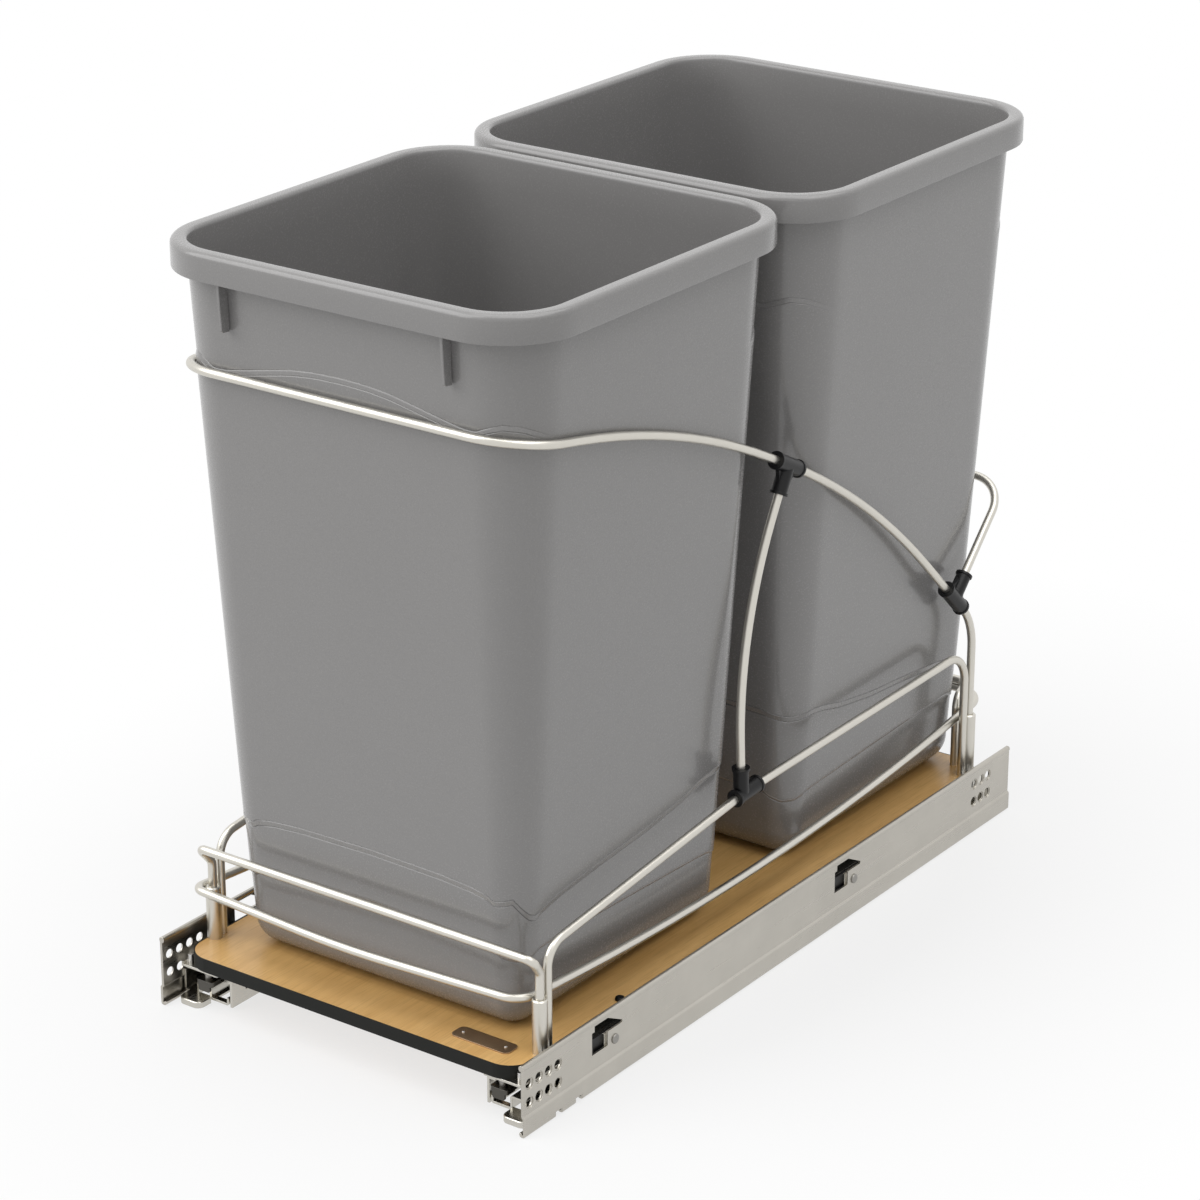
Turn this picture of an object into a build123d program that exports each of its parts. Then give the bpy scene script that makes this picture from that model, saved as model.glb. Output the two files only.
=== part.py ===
from build123d import *
import os
from math import radians, tan

# Double pull-out waste unit on bottom-mounted slides.
# Frame: millimetres, +Z up, the unit pulls out towards -Y, +X is the user's right.
# The origin lies on the floor, in the middle of the overall width and depth.

os.makedirs("parts", exist_ok=True)

# ---------------------------------------------------------------- driving dimensions
# Slides
slide_length = 558.8  # nominal 22 inch slide
bracket_clear = 10.5  # platform's edge to the bracket's outer face
bracket_height = 47.3
bracket_sheet = 1.6
hem_height = 3.8
hem_depth = 3.6
ledge_height = 13.5  # the strip below it stands proud
ledge_step = 1.2
foot_hook = 2.6
runner_sheet = 1.5
runner_flank = 17.6
runner_width = 36.5
runner_setback = 19.0  # runner's front behind the bracket's front
runner_lip = 4.4
front_lip_width = 18.0
front_lip_reach = 11.0  # tongue in front of the runner
front_lip_round = 5.0
front_lip_chamfer = 0.5
slot_length = 20.0
slot_setback = 4.0
track_height = 12.0  # top of the runner's raised track
track_width = 12.0
track_inset = 18.0  # centre of the track from the bracket's outer face
middle_sheet = 1.5
middle_width = 22.0
middle_skirt = 11.0
middle_setback = 22.0
drawer_sheet = 1.6
drawer_outer_inset = 5.0
drawer_inner_inset = 41.0
drawer_skirt = 6.5
drawer_wall_clear = 2.0  # inner wall of the drawer member above the floor
drawer_flange_width = 5.5  # turned-in ends of the drawer member
drawer_flange_height = 9.0
drawer_slot = (5.0, 7.0)  # length and height of the small slot in the inner wall
drawer_slot_setback = 13.0
drawer_slot_level = 10.0
sheet_bend = 0.9  # inner bends of folded sheet
travel = 530.0

# Screw holes of the bracket
hole_bore = 6.0
hole_sink = 7.8
hole_sink_depth = 0.6
front_hole_start = 6.3
front_hole_pitch = 9.4
front_hole_count = 4
front_hole_rows = (21.2, 33.6)
rear_hole_start = 28.4  # last hole from the bracket's rear end
rear_hole_pitch = 9.0
rear_hole_count = 3
rear_hole_rows = (23.0, 36.0)

# Lanced windows with riveted tabs
window_starts = (68.4, 336.0)
window_length = 31.0
window_low = 24.0
window_shoulder = 39.0
window_shoulder_length = 2.6
window_high = 42.8
window_end_high = 35.2  # the top edge slopes down to this over the tab
tab_length = 15.0
tab_high = 33.4
rivet_head = 6.4
rivet_head_height = 1.1
rivet_head_round = 0.8
rivet_shank = 3.6
rivet_level = 25.5
notch_starts = (30.4, 50.4)
notch_length = 7.2
notch_height = 4.0

# Platform
platform_margin = 3.5  # board outside the posts' centres
platform_rear_clear = 34.7  # board's rear edge in front of the rear rim
platform_setback = 8.0
platform_thickness = 9.0
platform_top = 37.0
platform_corner = 18.0
band_thickness = 0.8

# Bins
bin_width = 281.6  # over the rim
bin_depth = 280.6
bin_top = 495.5
bin_gap = 8.6  # between the two rims
bin_setback = 7.4
rim_height = 17.3
rim_corner = 48.0
rim_wall = 2.4
rim_round = 3.6
body_inset = 8.4  # body wall behind the rim's outer face
bin_wall = 2.2
bin_floor = 3.0
taper = 24.9  # how far each side draws in from rim to floor
mouth_corner = 39.0  # corner of the body where it meets the rim
mouth_round = 2.4
foot_corner = 19.0
foot_round = 18.0
gusset_thickness = 2.2
gusset_length = 29.5
gusset_toe = 3.0
gusset_offset = 81.2

# Wire frame
wire = 5.6
sleeve_bore_gap = 0.1
sleeve_outer = 9.5
sleeve_chamfer = 0.8
post_inset = 13.8  # posts' centres inside the rim's outer face
front_post_depth = 35.4  # from the brackets' front
rear_post_clear = 51.8  # rear posts in front of the rear rim
front_sleeve_top = 72.5
rear_sleeve_top = 80.5
socket_depth = 25.0
weld_gap = 0.15
front_bar_top = 101.7
front_bar_rise = 12.0  # height over which the bar swings forwards
front_bar_bow = 9.5
front_bar_spread = 2.0
front_bar_bend = 8.0
front_bar_corner = 5.0
rear_bar_top = 87.0
rear_bar_inset = 13.4  # legs inside the posts
rear_bar_setback = 5.5  # legs behind the posts
rear_bar_swing = 27.5
rear_bar_draw = 8.0
rear_bar_bend = 9.0
rail_front_top = 103.0
rail_tee_top = 125.3
rail_rear_top = 129.5
rail_front_bend = 15.0
rail_tee_bend = 120.0
rail_rear_bend = 22.0
strut_lean = 37.0  # bend of the rail in front of the top tee
loop_front_level = 72.0
loop_sag_level = 47.5  # where the straight ends of a side run would meet
loop_sag_straight = 25.173  # straight stretch left at each end of a side run
loop_front_depth = 26.6
loop_rear_clear = 19.8
loop_bow = 8.5
loop_bow_bend = 520.0
loop_left_corner = 8.0
loop_right_corner = 14.0
loop_rear_corner = 16.0
hoop_knee_level = 149.0
hoop_knee_bend = 45.0
hoop_clear = 0.6  # wire beside the wall of the first bin
hoop_low_splay = 0.5  # arc's lower corner outside the posts
hoop_low_ahead = 52.2  # arc's lower corner in front of the second bin's centre
hoop_low_level = 281.8
hoop_high_behind = 25.4  # arc's upper corner behind the first bin's centre
hoop_high_level = 391.0
hoop_front_level = 420.6
hoop_arc = 730.0
hoop_corner = 39.0
back_hoop_inset = 2.5
back_hoop_clear = 11.2
back_hoop_level = 236.0
back_hoop_bend = 24.0
tee_outer = 10.6
tee_run = 29.0
lower_tee_run = 25.0
lower_tee_offset = 5.5  # stem in front of the run's middle
tee_stem = 19.0
tee_stem_thinner = 0.3
tee_ring = 1.6
tee_ring_proud = 0.5
tee_web = 2.6
tee_plug = 1.5  # bottom of the stem's socket above the run
tee_bore_gap = 0.12
top_tee_depth = 288.4
rear_tee_from_knee = 36.5
strut_bend = 270.0

# Fasteners and small parts
post_stud = 3.8
post_stud_length = 15.0
post_stud_floor = 1.0
post_stud_chamfer = 0.4
edge_screw_head = 6.2
edge_screw_height = 2.2
edge_screw_round = 1.3
edge_screw_shank = 3.6
edge_screw_depth = 116.2
edge_screw_margin = 3.3
under_screw_depths = (90.0, 470.0)
screw_bite = 5.6
bite_gap = 0.6
plate_length = 43.0
plate_width = 13.0
plate_corner = 4.0
plate_thickness = 0.8
plate_inset = 38.3  # centre of the plate from the board's right edge
plate_depth = 27.0
plate_pin = 2.0
plate_pin_inset = 5.7
plate_pin_round = 0.5
roller_gap = 0.05
lower_cage_length = 120.0
upper_cage_length = 120.0
cage_wall = 1.6
roller_count = 6
lower_roller_width = 6.0
upper_roller_width = 7.0
guide_block_thickness = 1.4
guide_rib = 3.0
lock_plate_insets = (37.0, 8.0)  # from the bracket's outer face
lock_plate_depth = 10.0
lock_plate_setback = 1.0
lock_plate_corner = 2.0
lock_screw_insets = (33.5, 12.5)
lever_inset = 26.0
lever_setback = 2.0
lever_width = 6.4
lever_head_width = 13.0
lever_head_depth = 9.5
lever_head_corner = 2.0
lever_thickness = 3.2
lever_level = 17.0
lever_length = 23.0
lever_nose = 5.0  # lever in front of its pin
lever_tab = 4.0
lever_tab_sheet = 1.8
lever_tab_round = 1.2
lever_pin = 3.0
lever_pin_head = 5.2
lever_pin_head_height = 1.0
running_gap = 0.4
fit_gap = 0.05

# ---------------------------------------------------------------- derived places
overall_depth = bin_setback + 2 * bin_depth + bin_gap
runner_floor = foot_hook  # underside of the runner's floor
middle_front = runner_setback + middle_setback
front_y = -overall_depth / 2
post_reach = bin_width / 2 - post_inset
rear_post_depth = overall_depth - rear_post_clear
platform_width = 2 * (post_reach + platform_margin)
platform_depth = overall_depth - platform_rear_clear - platform_setback
bracket_face = platform_width / 2 + bracket_clear
platform_bottom = platform_top - platform_thickness
drawer_plate_low = platform_bottom - drawer_sheet
middle_top = track_height + (drawer_plate_low - track_height - middle_sheet) / 2 + middle_sheet
wire_radius = wire / 2
sleeve_radius = sleeve_outer / 2
post_clear = sleeve_radius + wire_radius + fit_gap  # a wire beside a post
loop_rear_depth = overall_depth - loop_rear_clear
loop_rear_level = rear_bar_top - wire - weld_gap
rail_tee_depth = top_tee_depth - strut_lean
edge_screw_reach = platform_width / 2 - edge_screw_margin
lever_reach = bracket_face - lever_inset
lever_pin_depth = platform_setback + lever_setback + lever_nose
bin_centres = tuple(bin_setback + bin_depth / 2 + n * (bin_depth + bin_gap) for n in (0, 1))


def depth(distance):
    """Y of a point this far behind the front of the brackets."""
    return front_y + distance


def save(name, *solids):
    """Write one node; several solids stay separate bodies in it."""
    label = solids[0] if len(solids) == 1 else Compound(children=list(solids))
    label.label = name
    export_step(label, f"parts/{name}.step")


def both_sides(name, right_part):
    """Write a right-hand piece and its mirror image."""
    save(f"{name}_right", *right_part)
    save(f"{name}_left", *(mirror(piece, about=Plane.YZ) for piece in right_part))


# ---------------------------------------------------------------- sheet and wire helpers
def cross_section(back, profile, length):
    """Extrude an X-Z profile forwards from the depth of its back end."""
    plane = Plane(origin=(0, depth(back), 0), x_dir=(1, 0, 0), z_dir=(0, -1, 0))
    return extrude(plane * profile, amount=length)


def folded(points, sheet, bend):
    """A sheet's cross-section along its middle line."""
    return trace(FilletPolyline(*points, radius=bend), line_width=sheet)


def rod(path, diameter=wire):
    """Round bar along a path."""
    start = path ^ 0
    return sweep(start * Circle(diameter / 2), path=path)


def drill(centre, axis, diameter, length):
    """Cylinder centred on a point along an axis."""
    plane = Plane(origin=centre, z_dir=axis)
    return plane * Cylinder(diameter / 2, length)


def slab(x_range, d_range, z_range):
    """Box between two X values, two depths and two levels."""
    size = [abs(high - low) for low, high in (x_range, d_range, z_range)]
    middle = (sum(x_range) / 2, depth(sum(d_range) / 2), sum(z_range) / 2)
    return Pos(*middle) * Box(*size)


# ---------------------------------------------------------------- slides
def make_bracket():
    """Tall outer bracket: jogged web, rolled hem, foot hook, holes, windows and notches."""
    web = bracket_face - bracket_sheet / 2
    strip = web + ledge_step
    jog = ledge_step
    hem_low = bracket_height - hem_height
    profile = folded(
        [(strip - foot_hook, foot_hook), (strip - foot_hook, bracket_sheet / 2),
         (strip, bracket_sheet / 2), (strip, ledge_height - jog), (web, ledge_height),
         (web, hem_low + bracket_sheet)],
        bracket_sheet, sheet_bend)
    hem = Pos(bracket_face + bracket_sheet / 4 - hem_depth / 2, hem_low + hem_height / 2)
    profile += hem * RectangleRounded(hem_depth, hem_height, bracket_sheet)
    body = cross_section(slide_length, profile, slide_length)
    return body - bracket_holes() - bracket_windows() - bracket_notches()


def hole_places():
    """Depth and level of each screw hole."""
    front = [(front_hole_start + n * front_hole_pitch, z)
             for n in range(front_hole_count) for z in front_hole_rows]
    rear_end = slide_length - rear_hole_start
    rear = [(rear_end - n * rear_hole_pitch, z)
            for n in range(rear_hole_count) for z in rear_hole_rows]
    return front + rear


def bracket_holes():
    """Countersunk screw holes through the web."""
    cutters = []
    for distance, level in hole_places():
        outer = (bracket_face, depth(distance), level)
        cutters.append(drill(outer, (1, 0, 0), hole_bore, 4 * bracket_sheet))
        cutters.append(drill(outer, (1, 0, 0), hole_sink, 2 * hole_sink_depth))
    return cutters


def bracket_windows():
    """Two windows with sloping tops, each keeping a riveted tab at its rear end."""
    cutters = []
    for start in window_starts:
        near, far = (depth(distance) for distance in tab_span(start))
        front = depth(start)
        step = front + window_shoulder_length
        outline = Polyline((front, window_low), (near, window_low), (near, tab_high), (far, tab_high),
                           (far, window_end_high), (near, window_high), (step, window_high),
                           (step, window_shoulder), (front, window_shoulder), close=True)
        face = Plane.YZ.offset(bracket_face) * make_face(outline)
        cutters.append(extrude(face, amount=2 * bracket_sheet, both=True))
    return cutters + rivet_bores()


def bracket_notches():
    """Notches in the foot of the bracket near its front."""
    reach = (bracket_face - 2 * foot_hook, bracket_face + 2 * foot_hook)
    return [slab(reach, (start, start + notch_length), (-1, notch_height)) for start in notch_starts]


def runner_inner():
    """X of the runner's inner edge."""
    return bracket_face - bracket_sheet - runner_width


def make_runner():
    """Fixed runner: floor channel with a raised track, inner lip, front lip and slots."""
    outer = bracket_face - bracket_sheet - runner_sheet / 2
    inner = runner_inner() + runner_sheet / 2
    floor = runner_floor + runner_sheet / 2
    crown = track_height - runner_sheet / 2
    track = bracket_face - track_inset
    half = (track_width - runner_sheet) / 2
    profile = folded(
        [(outer, runner_flank), (outer, floor), (track + half, floor), (track + half, crown),
         (track - half, crown), (track - half, floor), (inner, floor), (inner, floor + runner_lip)],
        runner_sheet, sheet_bend)
    length = slide_length - runner_setback
    body = cross_section(slide_length, profile, length)
    body += runner_front_lip()
    body += [runner_ear(start) for start in window_starts]
    front_slot = runner_setback + slot_setback
    rear_slot = slide_length - slot_setback - slot_length
    slots = [slab((inner + 2 * runner_sheet, track - half - 2 * runner_sheet),
                  (start, start + slot_length), (0, track_height / 2)) for start in (front_slot, rear_slot)]
    return body - slots - rivet_bores()


def runner_front_lip():
    """Rounded tongue in front of the runner's floor, turned down at its edge."""
    lip_outer = bracket_face - 2 * foot_hook
    back = runner_setback + runner_sheet
    front = runner_setback - front_lip_reach
    span = (lip_outer - front_lip_width, lip_outer)
    lip = slab(span, (front, back), (0, runner_floor + runner_sheet))
    lip = fillet(lip.edges().filter_by(Axis.Z).group_by(Axis.Y)[0], front_lip_round)
    hollow = slab((span[0] + runner_sheet, span[1] - runner_sheet), (front + runner_sheet, 2 * back),
                  (-runner_floor, runner_floor))
    hollow = fillet(hollow.edges().filter_by(Axis.Z).group_by(Axis.Y)[0], front_lip_round - runner_sheet)
    lip = lip - hollow - slab((span[0], span[1]), (runner_setback, 2 * back), (0, runner_floor))
    nose = lip.faces().sort_by(Axis.Z)[-1].edges().group_by(Axis.Y)[0]
    return chamfer(nose, front_lip_chamfer)


def tab_span(start):
    """Depths of the riveted tab of the window that starts here."""
    return start + window_length - tab_length, start + window_length


def runner_ear(start):
    """Ear of the runner's flank behind a riveted tab."""
    face = bracket_face - bracket_sheet
    near, far = tab_span(start)
    return slab((face - runner_sheet, face), (near - runner_sheet, far + runner_sheet),
                (runner_flank - runner_sheet, rivet_level + rivet_head))


def rivet_bores():
    """Bores of the rivets through tab and ear."""
    return [drill((bracket_face, depth(sum(tab_span(start)) / 2), rivet_level), (1, 0, 0),
                  rivet_shank, 6 * bracket_sheet) for start in window_starts]


def make_rivets():
    """Domed rivets through the bracket's tabs and the runner's flank."""
    rivets = []
    inner = bracket_face - bracket_sheet - runner_sheet
    for start in window_starts:
        centre = depth(sum(tab_span(start)) / 2)
        shank = drill(((bracket_face + inner) / 2, centre, rivet_level), (1, 0, 0),
                      rivet_shank - 2 * fit_gap, bracket_face - inner)
        head = drill((bracket_face + rivet_head_height / 2, centre, rivet_level), (1, 0, 0),
                     rivet_head, rivet_head_height)
        rim = head.edges().group_by(Axis.X)[-1]
        head = fillet(rim, rivet_head_round)
        rivets.append(shank + head)
    return rivets


def make_guide_blocks():
    """Black guide blocks that show behind the bracket's windows."""
    face = bracket_face - bracket_sheet - runner_sheet
    blocks = []
    for start in window_starts:
        near, _ = tab_span(start)
        plate = slab((face - guide_block_thickness, face), (start - guide_rib, near + guide_rib),
                     (rivet_level - rivet_head, rivet_level + rivet_head))
        rib = slab((face, face + runner_sheet), (start, start + guide_rib),
                   (rivet_level - rivet_shank, rivet_level + rivet_shank))
        blocks.append(plate + rib)
    return blocks


def make_middle():
    """Middle member: inverted channel over the runner's track."""
    track = bracket_face - track_inset
    half = (middle_width - middle_sheet) / 2
    crown = middle_top - middle_sheet / 2
    profile = folded(
        [(track - half, middle_top - middle_skirt), (track - half, crown),
         (track + half, crown), (track + half, middle_top - middle_skirt)],
        middle_sheet, sheet_bend)
    back = slide_length - 2 * slot_setback
    return cross_section(back, profile, back - middle_front)


def make_drawer_member():
    """Drawer member: top plate under the platform, short outer skirt, tall inner wall."""
    outer = bracket_face - drawer_outer_inset - drawer_sheet / 2
    inner = bracket_face - drawer_inner_inset + drawer_sheet / 2
    crown = platform_bottom - drawer_sheet / 2
    profile = folded(
        [(outer, crown - drawer_skirt), (outer, crown), (inner, crown), (inner, drawer_wall_clear)],
        drawer_sheet, sheet_bend)
    back = platform_setback + platform_depth
    body = cross_section(back, profile, back - runner_setback)
    flange = slab((inner, inner + drawer_flange_width), (runner_setback, runner_setback + drawer_sheet),
                  (crown - drawer_flange_height, crown))
    length, height = drawer_slot
    start = runner_setback + drawer_slot_setback
    slot = slab((inner - drawer_sheet, inner + drawer_sheet), (start, start + length),
                (drawer_slot_level, drawer_slot_level + height))
    return body + flange - slot - edge_screw_bores() - under_screw_bores()


def make_cage(length, low, high, roller_width, centre_depth):
    """Plastic cage plate with a row of rollers between two slide members."""
    track = bracket_face - track_inset
    pitch = length / roller_count
    start = centre_depth - length / 2
    middle = (low + high) / 2
    radius = (high - low) / 2 - roller_gap
    frame_width = roller_width + 2 * cage_wall
    plate = slab((track - frame_width / 2, track + frame_width / 2), (start, start + length),
                 (middle - cage_wall / 2, middle + cage_wall / 2))
    rollers = []
    for n in range(roller_count):
        centre = start + pitch * (n + 0.5)
        pocket = radius + running_gap
        side = (roller_width + running_gap) / 2
        plate -= slab((track - side, track + side), (centre - pocket, centre + pocket), (low, high))
        rollers.append(drill((track, depth(centre), middle), (1, 0, 0), 2 * radius, roller_width))
    return plate, rollers


# ---------------------------------------------------------------- platform
def platform_outline(shrink):
    """Rounded outline of the platform, drawn in by a margin."""
    centre = Pos(0, depth(platform_setback + platform_depth / 2), platform_bottom)
    return centre * RectangleRounded(platform_width - 2 * shrink, platform_depth - 2 * shrink,
                                     platform_corner - shrink)


def make_board():
    """Veneered board with screw bores."""
    board = extrude(platform_outline(band_thickness), amount=platform_thickness)
    return board - post_stud_bores(fit_gap) - edge_screw_bores() - under_screw_bores() - lock_screw_bores()


def make_band():
    """Edge band round the board."""
    ring = platform_outline(0) - platform_outline(band_thickness)
    return extrude(ring, amount=platform_thickness)


def post_places():
    """X, depth and sleeve top of the four posts."""
    return [(side * post_reach, distance, top)
            for distance, top in ((front_post_depth, front_sleeve_top), (rear_post_depth, rear_sleeve_top))
            for side in (-1, 1)]


def stud_span():
    """Levels of the lower and upper end of a post's stud."""
    low = platform_bottom + post_stud_floor
    return low, low + post_stud_length


def post_stud_bores(gap):
    """Bores for the studs, open upwards."""
    low, high = stud_span()
    return [Pos(x, depth(distance), (low + high) / 2) * Cylinder(post_stud / 2 + gap, high - low)
            for x, distance, _ in post_places()]


def make_post_studs():
    """Headless studs that hold the sleeves to the board."""
    low, high = stud_span()
    studs = []
    for x, distance, _ in post_places():
        stud = Pos(x, depth(distance), (low + high) / 2) * Cylinder(post_stud / 2, high - low)
        studs.append(chamfer(stud.edges().filter_by(GeomType.CIRCLE), post_stud_chamfer))
    return studs


def edge_screw_bores():
    """Clearance bores of the screws through the board's long edges."""
    level = (platform_top + drawer_plate_low) / 2
    return [drill((side * edge_screw_reach, depth(edge_screw_depth), level), (0, 0, 1),
                  edge_screw_shank + 2 * fit_gap, platform_thickness * 3) for side in (-1, 1)]


def make_edge_screws():
    """Black pan-head screws that hold the board to the drawer members."""
    screws = []
    for side in (-1, 1):
        spot = Pos(side * edge_screw_reach, depth(edge_screw_depth), platform_top)
        head = spot * Pos(0, 0, edge_screw_height / 2) * Cylinder(edge_screw_head / 2, edge_screw_height)
        head = fillet(head.edges().group_by(Axis.Z)[-1], edge_screw_round)
        reach = platform_thickness + drawer_sheet
        shank = spot * Pos(0, 0, -reach / 2) * Cylinder(edge_screw_shank / 2, reach)
        screws.append(head + shank)
    return screws


def under_screw_places():
    """Screws from below, through the drawer members into the board."""
    reach = bracket_face - drawer_inner_inset + 2 * drawer_sheet + edge_screw_head / 2
    return [(side * reach, distance) for side in (-1, 1) for distance in under_screw_depths]


def under_screw_bores():
    """Bores of the screws from below, blind in the board."""
    length = drawer_sheet + screw_bite + bite_gap
    return [drill((x, depth(distance), drawer_plate_low + length / 2), (0, 0, 1),
                  edge_screw_shank + 2 * fit_gap, length) for x, distance in under_screw_places()]


def make_under_screws():
    """Pan-head screws below the drawer members."""
    screws = []
    for x, distance in under_screw_places():
        spot = Pos(x, depth(distance), drawer_plate_low)
        head = spot * Pos(0, 0, -edge_screw_height / 2) * Cylinder(edge_screw_head / 2, edge_screw_height)
        length = drawer_sheet + screw_bite
        shank = spot * Pos(0, 0, length / 2) * Cylinder(edge_screw_shank / 2, length)
        screws.append(head + shank)
    return screws


def make_plate():
    """Blank plate on the board, with two pins."""
    spot = Pos(platform_width / 2 - plate_inset, depth(plate_depth), platform_top)
    plate = spot * extrude(RectangleRounded(plate_length, plate_width, plate_corner), amount=plate_thickness)
    pins = []
    for side in (-1, 1):
        along = side * (plate_length / 2 - plate_pin_inset)
        pin = spot * Pos(along, 0, plate_thickness) * Cylinder(
            plate_pin / 2, plate_thickness, align=(Align.CENTER, Align.CENTER, Align.MIN))
        pins.append(fillet(pin.edges().group_by(Axis.Z)[-1], plate_pin_round))
    return plate, pins


# ---------------------------------------------------------------- bins
def wall_inset(level):
    """Distance of the body's outer wall behind the rim's outer face at a level."""
    return body_inset + taper * (bin_top - level) / (bin_top - platform_top)


def bin_loft(shrink, low, high):
    """Tapered body between two levels, drawn in by a wall thickness."""

    def section(level):
        inset = wall_inset(level) + shrink
        share = (level - platform_top) / (bin_top - platform_top)
        corner = foot_corner + (mouth_corner - foot_corner) * share - shrink
        return Pos(0, 0, level) * RectangleRounded(bin_width - 2 * inset, bin_depth - 2 * inset, corner)

    return loft([section(low), section(high)], ruled=True)


def make_bin(centre_depth):
    """Moulded bin: tapered shell, rolled rim and gussets under the rim."""
    outer = bin_loft(0, platform_top, bin_top)
    outer = fillet(outer.edges().group_by(Axis.Z)[0], foot_round)
    inner = bin_loft(bin_wall, platform_top + bin_floor, bin_top + bin_wall)
    inner = fillet(inner.edges().group_by(Axis.Z)[0], foot_round - bin_wall)
    rim = extrude(Pos(0, 0, bin_top - rim_height) * RectangleRounded(bin_width, bin_depth, rim_corner),
                  amount=rim_height)
    rim = fillet(rim.edges().group_by(Axis.Z)[-1], rim_round)
    under = Pos(0, 0, bin_top - rim_height) * RectangleRounded(
        bin_width - 2 * rim_wall, bin_depth - 2 * rim_wall, rim_corner - rim_wall)
    rim -= extrude(under, amount=rim_height - rim_wall)
    body = outer + rim + bin_gussets() - inner
    mouth = body.faces().sort_by(Axis.Z)[-1].inner_wires()[0]
    body = fillet(mouth.edges(), mouth_round)
    return Pos(0, depth(centre_depth), 0) * body


def bin_gussets():
    """Ribs under the rim on the front and the back of the bin."""
    face = bin_depth / 2 - rim_wall
    root = bin_depth / 2 - body_inset - bin_wall / 2
    lean = taper * gusset_length / (bin_top - platform_top)
    high = bin_top - rim_wall
    low = bin_top - rim_height - gusset_length
    outline = Polyline((-face, high), (-face, bin_top - rim_height),
                       (-face + lean, low), (-root, low - gusset_toe), (-root, high), close=True)
    rib = extrude(Plane.YZ * make_face(outline), amount=gusset_thickness / 2, both=True)
    ribs = [Pos(side * gusset_offset, 0, 0) * rib for side in (-1, 1)]
    return ribs + [mirror(rib, about=Plane.XZ) for rib in ribs]


# ---------------------------------------------------------------- wire frame
def place(reach, distance, level):
    """Point from its reach to the side, its depth and its level."""
    return Vector(reach, depth(distance), level)


def mirrored(points):
    """The same points on the other side, in reverse order."""
    return [Vector(-point.X, point.Y, point.Z) for point in reversed(points)]


def make_sleeve(x, distance, top):
    """Post sleeve with a chamfered mouth, a socket for the wire and a bore for its stud."""
    height = top - platform_top
    spot = Pos(x, depth(distance), platform_top)
    tube = Cylinder(sleeve_radius, height, align=(Align.CENTER, Align.CENTER, Align.MIN))
    tube = chamfer(tube.edges().group_by(Axis.Z)[-1], sleeve_chamfer)
    socket = Pos(0, 0, height - socket_depth) * Cylinder(
        wire_radius + sleeve_bore_gap, socket_depth + 1, align=(Align.CENTER, Align.CENTER, Align.MIN))
    return spot * (tube - socket) - post_stud_bores(fit_gap)


def make_front_bar():
    """Inverted U in front of the first bin, bowed forwards at its top."""
    foot = front_sleeve_top - socket_depth + running_gap
    right = [place(post_reach, front_post_depth, foot),
             place(post_reach, front_post_depth, front_bar_top - front_bar_rise),
             place(post_reach + front_bar_spread, front_post_depth - front_bar_bow, front_bar_top)]
    radii = [front_bar_bend, front_bar_corner]
    return rod(FilletPolyline(*right, *mirrored(right), radius=radii + radii[::-1]))


def make_rear_bar():
    """Low bar behind the second bin, on its own two legs."""
    reach = post_reach - rear_bar_inset
    leg = rear_post_depth + rear_bar_setback
    right = [place(reach, leg, platform_top), place(reach, leg, rear_bar_top),
             place(reach - rear_bar_draw, leg + rear_bar_swing, rear_bar_top)]
    return rod(FilletPolyline(*right, *mirrored(right), radius=rear_bar_bend))


def rail_points():
    """Corners of the right side rail."""
    leg = sleeve_radius + wire_radius + weld_gap
    front = front_post_depth + leg
    rear = rear_post_depth - leg
    return [place(post_reach, front, platform_top), place(post_reach, front, rail_front_top),
            place(post_reach, rail_tee_depth, rail_tee_top), place(post_reach, rear, rail_rear_top),
            place(post_reach, rear, platform_top)]


def make_rail(diameter=wire):
    """Side rail: leg, rising front stretch, level rear stretch, leg."""
    radii = [rail_front_bend, rail_tee_bend, rail_rear_bend]
    return rod(FilletPolyline(*rail_points(), radius=radii), diameter)


def loop_side(x):
    """Corners of a side run from the back to the front, with the point where it would meet if not bent."""
    middle = (loop_front_depth + loop_rear_depth) / 2
    return [place(x, loop_rear_depth, loop_rear_level), place(x, middle, loop_sag_level),
            place(x, loop_front_depth, loop_front_level)]


def loop_sag_bend():
    """Radius of a side run's sag, from the straight stretches left at its ends."""
    rear, meet, front = loop_side(0)
    turn = radians((rear - meet).get_angle(meet - front))
    return ((meet - front).length - loop_sag_straight) / tan(turn / 2)


def make_loop():
    """Lower loop round both bins: outside the left posts, inside the right ones, sagging at the sides."""
    left = -post_reach - post_clear
    right = post_reach - post_clear
    bow = place((left + right) / 2, loop_front_depth - loop_bow, loop_front_level)
    points = [*loop_side(right), bow, *loop_side(left)[::-1]]
    sag = loop_sag_bend()
    radii = [loop_rear_corner, sag, loop_right_corner, loop_bow_bend, loop_left_corner, sag, loop_rear_corner]
    return rod(FilletPolyline(*points, radius=radii, close=True))


def beside_bin(level):
    """How far the wire lies inside the rim's outer face when it runs along the body at a level."""
    return wall_inset(level) - wire_radius - hoop_clear


def hoop_points():
    """Corners of the right half of the upper hoop, from its socket to the front."""
    foot = rear_sleeve_top - socket_depth + running_gap
    first, second = bin_centres
    high = bin_width / 2 - beside_bin(hoop_high_level)
    front = beside_bin(hoop_front_level)
    return [place(post_reach, rear_post_depth, foot), place(post_reach, rear_post_depth, hoop_knee_level),
            place(post_reach + hoop_low_splay, second - hoop_low_ahead, hoop_low_level),
            place(high, first + hoop_high_behind, hoop_high_level),
            place(bin_width / 2 - front, bin_setback + front, hoop_front_level)]


def make_hoop():
    """Upper hoop: rises from the rear posts in a long arc and wraps the first bin."""
    right = hoop_points()
    radii = [hoop_knee_bend, hoop_arc, hoop_arc, hoop_corner]
    path = FilletPolyline(*right, *mirrored(right), radius=radii + radii[::-1])
    return rod(path)


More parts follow.
